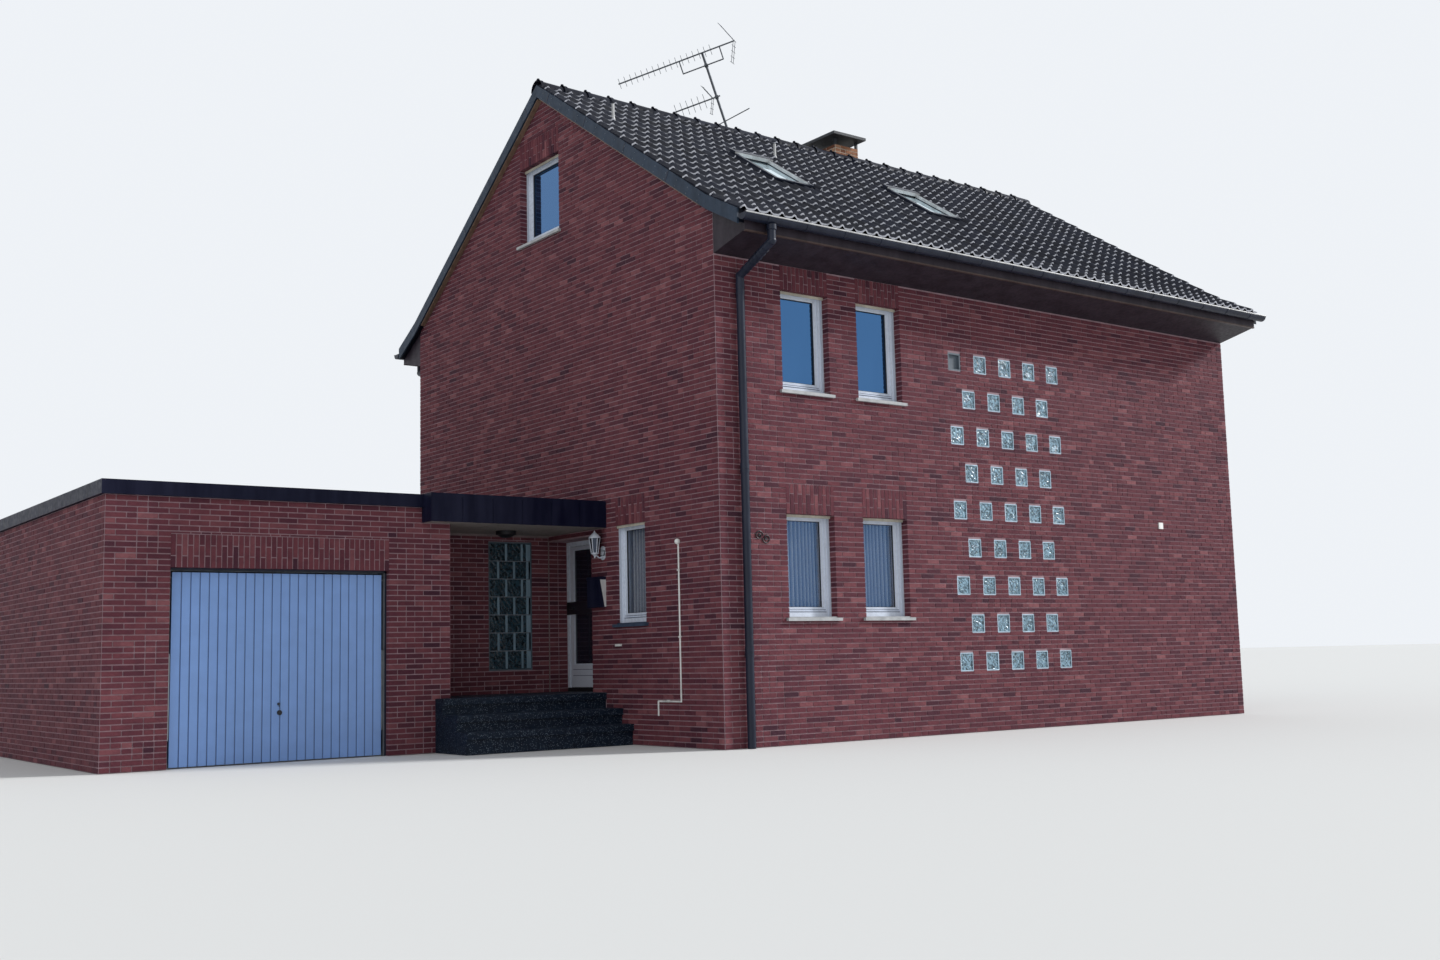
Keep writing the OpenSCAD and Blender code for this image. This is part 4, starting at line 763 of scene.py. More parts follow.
def lay_chimney():
    x0, x1, y0, y1, top = CHIMNEY
    places = []
    sides = ((x0, y0, "x", -1), (x0, y1, "x", 1), (x0, y0, "y", -1), (x1, y0, "y", 1))
    for i, side in enumerate(sides):
        ends = level(0, x1 - x0 if side[2] == "x" else y1 - y0)
        lay_wall(places, Face(*side), ends, [], RIDGE_Z - 0.6, top, 900 + i)
    scatter("chimney_bricks", unit_box(), places, "chimney_brick")


lay_chimney()


def rim_glass_blocks():
    """The pressed rim round the face of every glass block but the vent."""
    half, rim = BLOCK / 2, 0.014
    boxes = [((u[0], -0.004, up[0]), (u[1], 0.002, up[1])) for x, z in BLOCK_PLACES[1:]
             for u, up in frame_bars((x - half, x + half), (z - half, z + half), rim, lap=False)]
    box_piece("glass_block_rims", "block_rim", boxes)


rim_glass_blocks()

# Roof covering

TILE_W, GAUGE, TILE_L, TILE_T, RIDGE_GAUGE = 0.189, 0.33, 0.40, 0.02, 0.39
ROLL, TILT, FOOT_LIFT, NOSE = 0.034, 0.06, 0.008, 0.02


def unit_tile():
    """One pantile with a round roll at its edge, its foot at the origin, running up in y."""
    bm = bmesh.new()
    bmesh.ops.create_grid(bm, x_segments=12, y_segments=2, size=0.5)
    for v in bm.verts:
        if abs(v.co.y) < 0.1:
            v.co.y = NOSE / TILE_L - 0.5
        u = v.co.x + 0.5
        roll = 0.5 - 0.5 * math.cos(2 * math.pi * min(1.0, u / 0.5)) if u < 0.5 else 0
        dish = -0.12 * math.sin(math.pi * (u - 0.5) / 0.5) if u >= 0.5 else 0
        rise = ROLL * (roll + dish)
        v.co = Vector((u * (TILE_W + 0.004), (v.co.y + 0.5) * TILE_L, rise))
    shell = bmesh.ops.extrude_face_region(bm, geom=bm.faces[:])["geom"]
    moved = [g for g in shell if isinstance(g, bmesh.types.BMVert)]
    bmesh.ops.translate(bm, vec=(0, 0, TILE_T), verts=moved)
    bmesh.ops.recalc_face_normals(bm, faces=bm.faces)
    hidden = [f for f in bm.faces if f.normal.z < -0.5]
    bmesh.ops.delete(bm, geom=hidden, context="FACES_ONLY")
    # Marks the strip at the tile's foot where the tile finish paints a highlight.
    nose = bm.verts.layers.float.new("nose")
    for v in bm.verts:
        v[nose] = 1.0 if v.co.y < 0.001 else 0.0
    return bm


def roof_line(distance):
    """Point (y, z) of the front slope at a distance up from the eaves' edge."""
    if distance < SKIRT:
        return (-EAVES_OUT + distance * math.cos(SPROCKET),
                EDGE_Z + distance * math.sin(SPROCKET))
    rest = distance - SKIRT
    return rest * math.cos(PITCH), EAVES_Z + rest * math.sin(PITCH)


ROOF_X0, ROOF_X1 = -VERGE_OUT + 0.025, HOUSE_W + VERGE_OUT - 0.025
SKIRT = EAVES_OUT / math.cos(SPROCKET)
SLOPE_L = SKIRT + RIDGE_Y / math.cos(PITCH)
ROOF_WINDOWS = [(2.46, 1.40, 0.68, 0.975), (5.40, 1.40, 0.68, 0.975)]
MARGIN = 0.06


def up_slope(y):
    """Distance up from the eaves' edge, for a level distance in from the wall's face."""
    return SKIRT + y / math.cos(PITCH)


def slope_hole(x0, x1, y0, y1):
    return x0 - MARGIN, x1 + MARGIN, up_slope(y0) - MARGIN, up_slope(y1) + MARGIN


def trimmed(area, holes):
    """The largest rest of a tile beside the holes in the slope, or None."""
    for hole in holes:
        x0, x1, s0, s1 = area
        if x1 <= hole[0] or x0 >= hole[1] or s1 <= hole[2] or s0 >= hole[3]:
            continue
        rests = [(x0, hole[0], s0, s1), (hole[1], x1, s0, s1), (x0, x1, s0, hole[2]),
                 (x0, x1, hole[3], s1)]
        area = max(rests, key=lambda r: max(0, r[1] - r[0]) * max(0, r[3] - r[2]))
        if area[1] - area[0] < 0.05 or area[3] - area[2] < 0.08:
            return None
    return area


def lay_slope(name, rear, holes, seed):
    """Rows of tiles from the eaves to the ridge, each row lapping the one below."""
    rng = random.Random(seed)
    columns = round((ROOF_X1 - ROOF_X0) / TILE_W)
    step = (ROOF_X1 - ROOF_X0) / columns
    places = []
    for row in range(math.ceil((SLOPE_L - 0.05) / GAUGE)):
        for col in range(columns):
            x = ROOF_X0 + col * step
            start = row * GAUGE - 0.045
            tilt, lift, tint = rng.uniform(-0.004, 0.004), rng.uniform(0, 0.003), rng.random()
            area = trimmed((x, x + step, start, min(start + TILE_L, SLOPE_L - 0.03)), holes)
            if area is None:
                continue
            x0, x1, s0, s1 = area
            y0, z0 = roof_line(s0)
            y1, z1 = roof_line(s1)
            angle = math.atan2(z1 - z0, y1 - y0) - TILT + tilt
            size = ((x1 - x0) / step, (s1 - s0) / TILE_L, 1)
            foot_z = z0 + FOOT_LIFT - TILT * (s0 - start) + lift
            places.append(((x1 if rear else x0, on_side(rear, y0), foot_z), size,
                           (angle, 0, math.pi if rear else 0), tint))
    scatter(name, unit_tile(), places, "roof_tile", smooth=True)


lay_slope("front_tiles", False,
          [slope_hole(x - w / 2, x + w / 2, y, y + run) for x, y, w, run in ROOF_WINDOWS], 5)
lay_slope("rear_tiles", True,
          [slope_hole(CHIMNEY[0], CHIMNEY[1], HOUSE_D - CHIMNEY[3], RIDGE_Y)], 6)


def unit_ridge_tile():
    """A half-round ridge tile with a raised collar at its end."""
    bm = bmesh.new()
    profile = [(0.0, 0.15), (0.055, 0.15), (0.06, 0.138), (0.40, 0.13)]
    verts = [bm.verts.new((x, -r, 0)) for x, r in profile]
    edges = [bm.edges.new(pair) for pair in zip(verts, verts[1:])]
    bmesh.ops.spin(bm, geom=verts + edges, cent=(0, 0, 0), axis=(1, 0, 0), angle=-math.pi,
                   steps=12, use_duplicate=False)
    bm.normal_update()
    inward = [f for f in bm.faces if f.normal.yz.dot(f.calc_center_median().yz) < 0]
    bmesh.ops.reverse_faces(bm, faces=inward)
    add_cone(bm, Matrix.Translation((0.03, 0, 0.15)), 0.032, 0.02, 0.05, 10)
    return bm


def lay_ridge():
    length = HOUSE_W + 2 * VERGE_OUT
    count = round(length / RIDGE_GAUGE)
    step = length / count
    rng = random.Random(8)
    places = [((-VERGE_OUT + i * step, RIDGE_Y, RIDGE_Z - 0.08 + rng.uniform(0, 0.004)),
               (step / RIDGE_GAUGE, 1, 1), (0, 0, rng.uniform(-0.006, 0.006)), rng.random())
              for i in range(count)]
    made = scatter("ridge_caps", unit_ridge_tile(), places, "roof_tile", smooth=True)
    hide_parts("ridge_tiles")


lay_ridge()

# Joinery in the window openings


class Opening:
    """A window opening: u runs along its wall, d into the wall and z up from its sill."""

    def __init__(self, wall, opening, reveal=REVEAL):
        self.wall, self.reveal = wall, reveal
        self.start, self.z, self.w, self.h = opening

    def at(self, u, d, z):
        point = self.wall.start + self.wall.along * (self.start + u) - self.wall.out * d
        return point.x, point.y, self.z + z

    def box(self, bm, u, d, z):
        """A box over a range along the wall, a range into it and a range of height."""
        return add_box(bm, self.at(u[0], d[0], z[0]), self.at(u[1], d[1], z[1]))


OPENINGS = ([Opening(FRONT, w) for w in FRONT_WINDOWS] + [Opening(REAR, w) for w in REAR_WINDOWS]
            + [Opening(LEFT, HALL_WINDOW, HALL_REVEAL), Opening(LEFT, ATTIC_WINDOW)]
            + [Opening(RIGHT, w) for w in RIGHT_WINDOWS])
SILL_T, FRAME_BAR, SASH_BAR, HEAD_BAR, SET_BACK = 0.03, 0.062, 0.058, 0.012, 0.014


def dress_windows():
    """Shutter slats and guides, and on the sashes seals, dark strips of painted groove shadow, and
    beads.
    """
    slats, guides, seals, groove_shadows, beads = blanks(5)
    side, rail = FRAME_BAR + SASH_BAR, SILL_T + FRAME_BAR
    for o in OPENINGS:
        face = o.reveal + SET_BACK
        low, high = SILL_T + side, o.h - HEAD_BAR - SASH_BAR
        o.box(slats, (0.002, o.w - 0.002), (o.reveal - 0.055, o.reveal - 0.04),
              (o.h - 0.036, o.h - 0.001))
        for u in (0.001, o.w - 0.023):
            o.box(guides, (u, u + 0.022), (o.reveal - 0.028, o.reveal), (SILL_T, o.h - 0.001))
        for u, z in frame_bars((side, o.w - side), (low, high), 0.006):
            o.box(seals, u, (face + 0.004, face + 0.022), z)
        between = (FRAME_BAR, o.w - FRAME_BAR)
        # Painted shadow: thin dark strips where the frame and the sash have a groove.
        for z, depth in ((rail - 0.004, o.reveal), (rail + 0.024, face)):
            o.box(groove_shadows, between, (depth - 0.0015, depth + 0.004), (z, z + 0.006))
        o.box(beads, between, (face - 0.012, face), (rail + 0.006, rail + 0.016))
        for u, z in frame_bars((side - 0.016, o.w - side + 0.016), (low - 0.012, high + 0.012),
                               0.012):
            o.box(beads, u, (face - 0.003, face), z)
    piece("shutter_slats", slats, "shutter_slat")
    piece("shutter_guides", guides, "shutter_rail")
    piece("glazing_seals", seals, "seal")
    piece("sash_grooves", groove_shadows, "groove_shade_blue")
    piece("glazing_beads", beads, "white_frame")


dress_windows()

NET_DEPTH, NET_FOLD = 0.12, 0.06


def hang_nets():
    """Net cloth in folds behind every ground-floor pane."""
    bm = bmesh.new()
    fold_shade = bm.verts.layers.float.new("fold_shade")
    rng = random.Random(21)
    for o in (o for o in OPENINGS if o.z < FLOOR_Z + STOREY):
        shift = rng.uniform(0, 6)
        cloth = bmesh.ops.create_grid(bm, x_segments=96, y_segments=6, size=0.5)["verts"]
        for v in cloth:
            u, up = (v.co.x + 0.5) * o.w, (v.co.y + 0.5) * (o.h + 0.1)
            wave = math.sin(2 * math.pi * u / NET_FOLD + shift + 1.5 * math.sin(9 * u + shift))
            deep = o.reveal + NET_DEPTH + 0.017 * wave * (1 - 0.3 * up)
            # Stored for the painted shade of the folds: lowest where the cloth lies deepest.
            v[fold_shade] = -wave
            v.co = corner(*o.at(u, deep, up - 0.05))
    piece("net_curtains", bm, "net_cloth", smooth=True)


hang_nets()

# Roof trims and rainwater


def on_slope(s, out, rear=False):
    """Point (y, z) at a distance up a slope and a distance out of its face."""
    y, z = roof_line(s)
    return on_side(rear, y - out * math.sin(PITCH)), z + out * math.cos(PITCH)


def slope_box(bm, x, s, n, rear=False):
    """A box on a slope: along the eaves, up the slope and out of its face, as ranges."""
    middle = corner((x[0] + x[1]) / 2, *on_slope((s[0] + s[1]) / 2, (n[0] + n[1]) / 2, rear))
    size = Vector((x[1] - x[0], s[1] - s[0], n[1] - n[0]))
    place = Matrix.LocRotScale(middle, Euler((-PITCH if rear else PITCH, 0, 0)), size)
    bmesh.ops.create_cube(bm, size=1, matrix=place)


def flash_roof_windows():
    """Flat sheets round each roof window, its outer covers, and pale trims on them as painted
    highlights.
    """
    sheets, covers, trims = blanks(3)
    reach, bar = 0.095, 0.06
    for x, y, w, run in ROOF_WINDOWS:
        x0, x1, s0, s1 = x - w / 2, x + w / 2, up_slope(y), up_slope(y + run)
        for up, along in frame_bars((s0 - reach, s1 + reach), (x0 - reach, x1 + reach), reach,
                                    lap=False):
            slope_box(sheets, along, up, (0, 0.008))
        for a, b in ((x0 - 0.004, x0 + bar), (x1 - bar, x1 + 0.004)):
            slope_box(covers, (a, b), (s0, s1), (0.03, 0.058))
        slope_box(covers, (x0, x1), (s0 - 0.004, s0 + bar), (0.03, 0.052))
        slope_box(covers, (x0 - 0.01, x1 + 0.01), (s1 - 0.1, s1 + 0.02), (0.03, 0.085))
        # Painted highlight: pale strips along the top and the sides of the covers.
        slope_box(trims, (x0, x1), (s1 - 0.112, s1 - 0.1), (0.03, 0.08))
        slope_box(trims, (x1 - bar - 0.008, x1 - bar), (s0 + bar, s1 - 0.1), (0.02, 0.062))
        slope_box(trims, (x0 + bar, x0 + bar + 0.008), (s0 + bar, s1 - 0.1), (0.02, 0.05))
    piece("roof_window_flashings", sheets, "dark_metal")
    piece("roof_window_covers", covers, "dark_metal")
    piece("roof_window_trims", trims, "bright_trim")


flash_roof_windows()


def flash_chimney():
    """Lead at the chimney's sides and foot on the rear slope, and a strip on its front."""
    bm = bmesh.new()
    x0, x1, y0, y1 = CHIMNEY[:4]
    low, high, reach = up_slope(HOUSE_D - y1), SLOPE_L - 0.05, 0.06
    for a, b in ((x0 - reach, x0 + 0.001), (x1 - 0.001, x1 + reach)):
        slope_box(bm, (a, b), (low - reach, high), (0, 0.07), rear=True)
    slope_box(bm, (x0 - reach, x1 + reach), (low - reach, low), (0, 0.06), rear=True)
    add_box(bm, (x0 - 0.01, y0 - 0.01, RIDGE_Z + 0.02), (x1 + 0.01, y0, RIDGE_Z + 0.07))
    piece("chimney_flashing", bm, "lead_sheet")


flash_chimney()


def dress_verges():
    """Nails and lapped joints on the verge boards, and a timber strip along the wall."""
    nails, laps, strips = blanks(3)
    turn = Euler((0, math.pi / 2, 0))
    thick = ROOF_T * math.cos(PITCH)
    gables = ((-1, -VERGE_OUT, 0), (1, HOUSE_W + VERGE_OUT, HOUSE_W))
    for (out, face, wall), rear in itertools.product(gables, (False, True)):
        for i, down in itertools.product(range(17), (-0.045, -0.12)):
            y, z = on_slope(SKIRT + 0.12 + i * 0.275, down, rear)
            place = Matrix.LocRotScale(corner(face + out * 0.002, y, z), turn, None)
            add_cone(nails, place, 0.007, 0.007, 0.006, 8)
        for i in range(4):
            s = SKIRT + 0.9 + i * 1.15
            edge = sorted((face, face + out * 0.003))
            slope_box(laps, edge, (s, s + 0.02), (-thick - 0.005, -0.004), rear)
        edge = sorted((wall - out * 0.002, wall + out * 0.073))
        slope_box(strips, edge, (SKIRT + 0.1, SLOPE_L - 0.13), (-thick - 0.03, -thick - 0.001),
                  rear)
    piece("verge_nails", nails, "lead_sheet")
    piece("verge_laps", laps, "dark_metal")
    piece("verge_strips", strips, "stained_timber")


dress_verges()

GUTTER_R, GUTTER_Z, FASCIA_Y = 0.076, 6.13, -0.622
GUTTER_Y = FASCIA_Y - GUTTER_R


def unit_bracket():
    """A strap bent round the underside of the gutter."""
    bm = bmesh.new()
    bmesh.ops.create_grid(bm, x_segments=1, y_segments=1, size=0.5)
    for v in bm.verts:
        v.co = Vector((v.co.x * 0.028, -GUTTER_R - 0.003 + v.co.y * 0.004, 0))
    bmesh.ops.spin(bm, geom=bm.faces[:], cent=(0, 0, 0), axis=(1, 0, 0), angle=math.pi,
                   steps=14, use_duplicate=False)
    bmesh.ops.recalc_face_normals(bm, faces=bm.faces)
    return bm


def dress_gutters():
    """Beads on the gutters' rims in pale grey as a painted highlight, their brackets, and timber
    edges under the fascias.
    """
    beads, edges = blanks(2)
    x0, x1 = -VERGE_OUT, HOUSE_W + VERGE_OUT
    straps = []
    for rear in (False, True):
        rim, run = on_side(rear, GUTTER_Y - GUTTER_R), on_side(rear, GUTTER_Y)
        add_tube(beads, (x0, rim, GUTTER_Z), (x1, rim, GUTTER_Z), 0.009)
        add_box(edges, (0, on_side(rear, FASCIA_Y - 0.004), 5.952),
                (HOUSE_W, on_side(rear, FASCIA_Y + 0.03), 5.97))
        straps += [((x0 + 0.35 + i * 0.595, run, GUTTER_Z), (1, 1, 1), NO_TURN, 0.5)
                   for i in range(17)]
    # Painted highlight: the rim beads are pale grey on the dark gutters.
    piece("gutter_beads", beads, "bright_trim", smooth=True)
    piece("soffit_edges", edges, "strip_stain")
    scatter("gutter_brackets", unit_bracket(), straps, "dark_metal")


dress_gutters()

PIPE_X, PIPE_Y = 0.33, -0.075


def dress_downpipes():
    """Sleeves where the lengths of pipe meet and pleats in the bend under the gutter."""
    bm = bmesh.new()
    top, foot = Vector((PIPE_X, GUTTER_Y, 5.86)), Vector((PIPE_X, PIPE_Y, 5.58))
    rings = [((PIPE_X, PIPE_Y, z), (PIPE_X, PIPE_Y, z + 0.07), 0.055) for z in (5.42, 3.25, 1.1)]
    for i in range(7):
        at = top + (foot - top) * (0.2 + 0.1 * i)
        rings.append((at, at + (foot - top).normalized() * 0.02, 0.0555))
    rings.append(((PIPE_X, GUTTER_Y, 5.99), (PIPE_X, GUTTER_Y, 6.05), 0.062))
    for rear in (False, True):
        for start, end, radius in rings:
            a, b = [(x, on_side(rear, y), z) for x, y, z in (start, end)]
            add_tube(bm, a, b, radius, 24)
    piece("pipe_sleeves", bm, "dark_metal", smooth=True)


dress_downpipes()

VENT_PLACES = ((0.44, 2.81), (3.237, 2.73))


def add_roof_pipes():
    """Two slim vent pipes that stand plumb on the front slope."""
    bm = bmesh.new()
    for x, y in VENT_PLACES:
        z = EAVES_Z + y * math.tan(PITCH)
        add_tube(bm, (x, y, z - 0.02), (x, y, z + 0.24), 0.02, 16)
        add_tube(bm, (x, y, z - 0.02), (x, y, z + 0.06), 0.04, 16, 0.022)
    piece("roof_vent_pipes", bm, "bright_trim", smooth=True)


add_roof_pipes()

# Porch and door

LAMP_PLACE = (-0.973, 3.351)
LEAF_Y, LEAF_PANE_Z, STILE = (2.884, 3.859), (1.013, 2.5535), 0.105


def dress_porch():
    """Sealed edges of the porch, its round ceiling lamp and the band on the door frame."""
    box_piece("porch_trims", "sealant", [
        ((PORCH_X, PORCH_BACK - 0.02, CANOPY_Z - 0.025), (0, PORCH_BACK, CANOPY_Z)),
        ((-0.012, PORCH_BACK - 0.012, FLOOR_Z), (0, PORCH_BACK, CANOPY_Z - 0.025))])
    lamp, (x, y), rim = bmesh.new(), LAMP_PLACE, CANOPY_Z - 0.05
    add_tube(lamp, (x, y, CANOPY_Z), (x, y, rim), 0.135, 32)
    add_tube(lamp, (x, y, rim), (x, y, rim - 0.035), 0.12, 32, 0.06)
    piece("porch_lamp", lamp, "black_iron", smooth=True)
    box_piece("door_frame_band", "black_iron", [
        ((0.284, DOORWAY_Y, FLOOR_Z), (0.291, PORCH_BACK, FLOOR_Z + 0.052)),
        ((0.278, PORCH_BACK - 0.062, 1.681), (0.2905, PORCH_BACK, 1.853)),
        ((0.278, DOORWAY_Y, 1.681), (0.2905, DOORWAY_Y + 0.062, 1.853))])


dress_porch()


def dress_front_door():
    """Two dark strips of painted groove shadow across the foot of the leaf, and beads round its
    pane.
    """
    (y0, y1), (low, high), face, lip = LEAF_Y, LEAF_PANE_Z, DOOR_FACE_X, 0.014
    box_piece("door_panel_grooves", "groove_shade_blue",
              [((face - 0.001, y0 + 0.05, z), (face + 0.002, y1 - 0.05, z + 0.007))
               for z in (0.849, 0.931)], "front_door")
    bars = frame_bars((y0 + STILE - lip, y1 - STILE + lip), (low - lip, high + lip), lip)
    box_piece("door_glazing_beads", "white_frame",
              [((face - 0.005, y[0], z[0]), (face + 0.002, y[1], z[1])) for y, z in bars],
              "front_door")


dress_front_door()

PANE_X0, PANE_X1, PANE_Z0, PANE_STEP = -0.91, -0.285, 0.965, 0.24


def joint_porch_glass():
    """Grey joints between the courses of glass, and paler block ends at the uprights."""
    joints, ends = blanks(2)
    y0, y1 = PORCH_BACK - 0.0015, PORCH_BACK + 0.009
    for row in range(7):
        z = PANE_Z0 + row * PANE_STEP
        if row:
            add_box(joints, (PANE_X0, y0, z - 0.005), (PANE_X1, y1, z + 0.005))
        x = PANE_X0 + PANE_STEP - (row % 2) * PANE_STEP / 2
        while x < PANE_X1 - 0.02:
            add_box(ends, (x - 0.005, y0, z + 0.007), (x + 0.027, y1, z + PANE_STEP - 0.007))
            x += PANE_STEP
        add_box(ends, (PANE_X1 - 0.07, y0, z + 0.007), (PANE_X1 - 0.004, y1, z + PANE_STEP - 0.007))
    piece("porch_glass_joints", joints, "glass_joint")
    piece("porch_block_ends", ends, "block_end")


joint_porch_glass()

LANTERN, PLATE_Z = (-0.135, 2.525, 2.425, 2.625), (2.395, 2.465)


def hang_lantern():
    """Coach lantern: six panes between bars, a pointed cap and an arm on an oval plate."""
    iron, panes = blanks(2)
    x, y, foot, head = LANTERN
    low_r, high_r = 0.043, 0.07
    for i in range(6):
        turn = math.radians(60 * i + 30)
        side, out = math.sin(turn), math.cos(turn)
        add_tube(iron, (x + low_r * out, y + low_r * side, foot),
                 (x + high_r * out, y + high_r * side, head), 0.0055, 8)
    rings = ((foot - 0.008, 0.05, 0.05, 0.014), (head - 0.004, 0.08, 0.076, 0.014),
             (head + 0.01, 0.078, 0.03, 0.045), (head + 0.055, 0.03, 0.012, 0.018),
             (foot - 0.034, 0.014, 0.045, 0.028), (foot - 0.06, 0.006, 0.016, 0.028))
    for z, low, high, tall in rings:
        add_tube(iron, (x, y, z), (x, y, z + tall), low, 24, high)
    add_tube(iron, (x, y, head + 0.07), (x, y, head + 0.099), 0.005, 12, 0.002)
    add_ball(iron, (x, y, head + 0.08), 0.011, (16, 8))
    arm = [(x + 0.03 + 0.035 * i, y, foot - 0.03 - 0.03 * math.sin(math.pi * i / 3))
           for i in range(4)]
    add_rod(iron, [(x, y, foot - 0.03), *arm], 0.009, 12)
    for z in PLATE_Z:
        add_tube(iron, (-0.014, y, z), (0, y, z), 0.056, 32)
    add_box(iron, (-0.014, y - 0.056, PLATE_Z[0]), (0, y + 0.056, PLATE_Z[1]))
    add_tube(iron, (-0.026, y, 2.43), (-0.012, y, 2.43), 0.03, 24)
    add_tube(panes, (x, y, foot + 0.006), (x, y, head - 0.002), low_r - 0.004, 6, high_r - 0.005)
    made = piece("coach_lantern", iron, "white_steel", smooth=True)
    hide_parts("lantern")
    piece("lantern_panes", panes, "lantern_glass")


hang_lantern()

CONDUIT_Y = 0.831


def add_wall_fittings():
    """Outlet covers and conduit clips, and the letterbox's slanted cheek, pale as painted light on
    that side, and its lid.
    """
    white, pale = blanks(2)
    add_box(white, (-0.028, 2.12, 1.222), (0, 2.245, 1.252))
    add_box(white, (8.19, -0.02, 2.8), (8.29, 0, 2.895))
    add_ball(white, (-0.024, CONDUIT_Y, 2.452), 0.036, (20, 12))
    for y, z in ((CONDUIT_Y, 2.1), (CONDUIT_Y, 1.3), (1.1, 0.54)):
        add_box(white, (-0.027, y - 0.02, z), (0, y + 0.02, z + 0.018))
    # Painted light: the letterbox's street-facing side is a pale plate.
    cheek = add_box(pale, (-0.1005, 2.4665, 1.735), (-0.004, 2.4705, 2.115))
    for v in cheek:
        if v.co.z < 1.9 and v.co.x < corner(-0.05, 0).x:
            v.co.x = corner(-0.03, 0).x
    piece("wall_outlets", white, "white_plastic")
    piece("letterbox_cheek", pale, "bright_trim")
    box_piece("letterbox_lid", "fascia_board", [((-0.106, 2.465, 2.085), (0, 2.785, 2.124)),
                                              ((-0.103, 2.52, 1.98), (-0.099, 2.73, 2.02))])


add_wall_fittings()

# Each curl: the way it winds and its middle
SCROLL_CURLS = ((1, 0.565, 2.475), (-1, 0.675, 2.445))


def bend_iron_scroll():
    """A wrought scroll beside the corner: two curls that wind against each other."""
    bm = bmesh.new()
    turns = [(i * 0.32, 0.062 - 0.0018 * i) for i in range(27)]
    for side, x, z in SCROLL_CURLS:
        add_rod(bm, [(x + side * r * math.cos(turn), -0.014, z + side * r * math.sin(turn))
                     for turn, r in turns], 0.007, 8)
    for _, x, z in SCROLL_CURLS:
        add_tube(bm, (x, 0, z), (x, -0.018, z), 0.011, 12)
    piece("iron_scroll", bm, "black_iron", smooth=True)


bend_iron_scroll()

LOCK_X, LOCK_Z = -4.18, 0.552
TRIM_W, TRIM_Y0, TRIM_Y1 = 0.024, 2.772, 2.781


def dress_garage():
    """The leaf's round lock and the thin frame round its opening."""
    lock = bmesh.new()
    add_tube(lock, (LOCK_X, PANEL_FACE_Y, LOCK_Z), (LOCK_X, 2.786, LOCK_Z), 0.028, 24)
    piece("garage_lock", lock, "black_iron", "garage_door")
    x0, x1, top = GARAGE_OPENING
    bars = ((x0, x0 + TRIM_W, 0.002), (x1 - TRIM_W, x1, 0.002), (x0, x1, top - 0.03))
    box_piece("garage_frame_trims", "dark_metal",
              [((a, TRIM_Y0, foot), (b, TRIM_Y1, top)) for a, b, foot in bars])


dress_garage()

# Finishes of the carried-over solids

NODE_FINISH = {
    "mortar": ["front_wall", "rear_wall", "right_gable_wall", "left_gable_front",
             "left_gable_rear", "left_gable_upper", "door_lintel", "garage_piers",
             "garage_lintel", "garage_side_wall", "garage_rear_wall", "porch_side_wall",
             "porch_back_wall"],
    "pale_mortar": ["chimney_stack"],
    "concrete": ["ground_floor", "upper_floors", "garage_floor"],
    "roof_tile": ["front_roof", "rear_roof"],
    "slate_board": ["verge_boards"],
    "eaves_stain_and_shade": ["eaves_boxes"],
    "fascia_board": ["canopy_fascia", "letterbox", "flat_roof_edge"],
    "dark_metal": ["gutters", "downpipes", "roof_window_frames"],
    "cover_metal": ["chimney_cover"],
    "roofing_felt": ["flat_roof"],
    "soffit_board": ["canopy_soffit"],
    "white_frame": ["window_frames", "window_sashes", "door_frame"],
    "panel_frame": ["porch_glass_frame"],
    "door_paint": ["door_leaf"],
    "panel_paint": ["garage_leaf"],
    "window_glass": ["window_panes"],
    "door_glass": ["door_pane"],
    "roof_glass": ["roof_window_panes"],
    "block_glass": ["front_glass_blocks"],
    "lead_sheet": ["vent_block"],
    "porch_glass": ["porch_glass_blocks"],
    "sill_stone": ["window_sills"],
    "washed_stone": ["landing", "entrance_steps"],
    "galvanised": ["garage_door_track", "garage_trolley", "garage_arms"],
    "aerial_steel": ["aerial_mast", "yagi_aerials"],
    "white_plastic": ["wall_conduit"],
}
for finish, names in NODE_FINISH.items():
    for name in names:
        coat(nodes[name].data, finish)

# Light, floor and camera


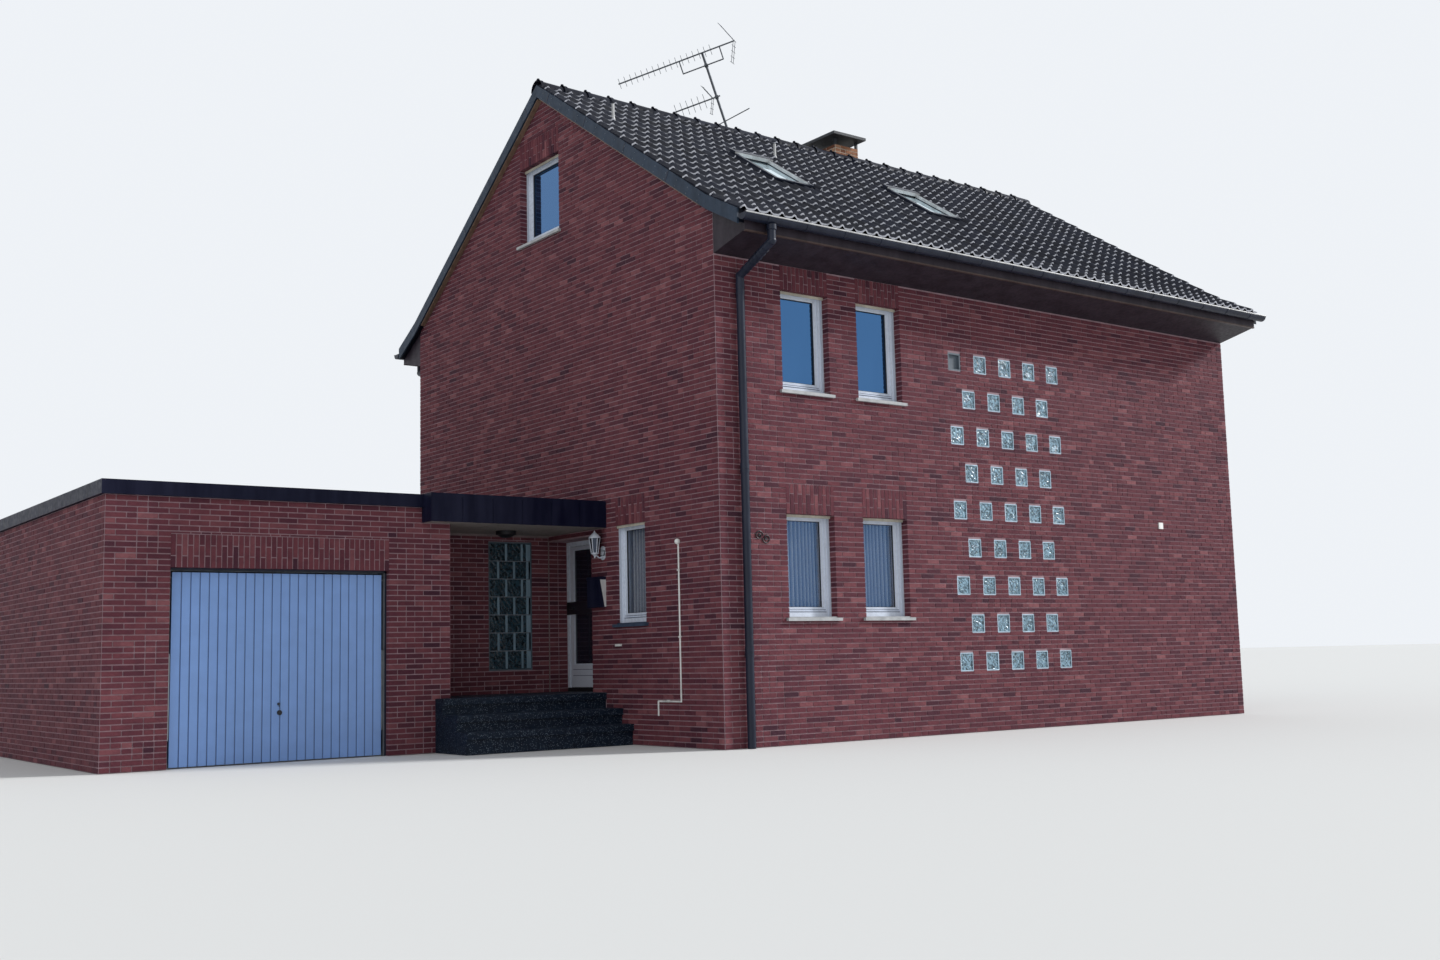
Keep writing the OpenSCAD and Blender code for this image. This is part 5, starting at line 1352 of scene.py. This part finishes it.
def lay_floor():
    bm = bmesh.new()
    bmesh.ops.create_grid(bm, x_segments=1, y_segments=1, size=400,
                          matrix=Matrix.Translation((0, 0, -0.004)))
    floor = add_object("floor", mesh_of("floor", bm))
    Finish("floor_paint", (0.72, 0.72, 0.71), 0.9)
    coat(floor.data, "floor_paint")


def make_sky():
    """Soft light from all round, and a brighter sky where it is seen or mirrored."""
    world = bpy.data.worlds.new("studio")
    bpy.context.scene.world = world
    world.use_nodes = True
    add, link = world.node_tree.nodes.new, world.node_tree.links.new
    world.node_tree.nodes.clear()
    out, path = add("ShaderNodeOutputWorld"), add("ShaderNodeLightPath")
    both = add("ShaderNodeMixShader")
    shown = path.outputs["Is Camera Ray"]
    for ray in ("Is Glossy Ray", "Is Transmission Ray"):
        either = add("ShaderNodeMath")
        either.operation = "MAXIMUM"
        link(shown, either.inputs[0])
        link(path.outputs[ray], either.inputs[1])
        shown = either.outputs[0]
    link(shown, both.inputs[0])
    for slot, colour, strength in ((1, (0.9, 0.95, 1.0, 1), 0.5), (2, (0.86, 0.89, 0.93, 1), 1.0)):
        sky = add("ShaderNodeBackground")
        sky.inputs["Color"].default_value = colour
        sky.inputs["Strength"].default_value = strength
        link(sky.outputs[0], both.inputs[slot])
    link(both.outputs[0], out.inputs["Surface"])


# Each lamp: its name, strength, size in degrees and turn
LAMPS = (("key", 3.2, 9, (60, 0, 64)), ("fill", 0.45, 60, (62, 0, -60)))


def hang_lamps():
    for name, strength, angle, turn in LAMPS:
        lamp = bpy.data.lights.new(name, "SUN")
        lamp.energy = strength
        lamp.angle = math.radians(angle)
        add_object(name, lamp).rotation_euler = Euler([math.radians(a) for a in turn])


CAMERA_PLACE, CAMERA_TURN = (-15.395, -17.745, 1.056), (96.7915, 1.3648, -36.8308)


def make_camera():
    lens = bpy.data.cameras.new("camera")
    lens.sensor_width = 36
    lens.lens = 37.173
    lens.clip_start, lens.clip_end = 0.1, 1000
    camera = add_object("camera", lens)
    camera.location = CAMERA_PLACE
    camera.rotation_euler = Euler([math.radians(a) for a in CAMERA_TURN])
    bpy.context.scene.camera = camera


lay_floor()
make_sky()
hang_lamps()
make_camera()
bpy.context.scene.view_settings.view_transform = "Standard"
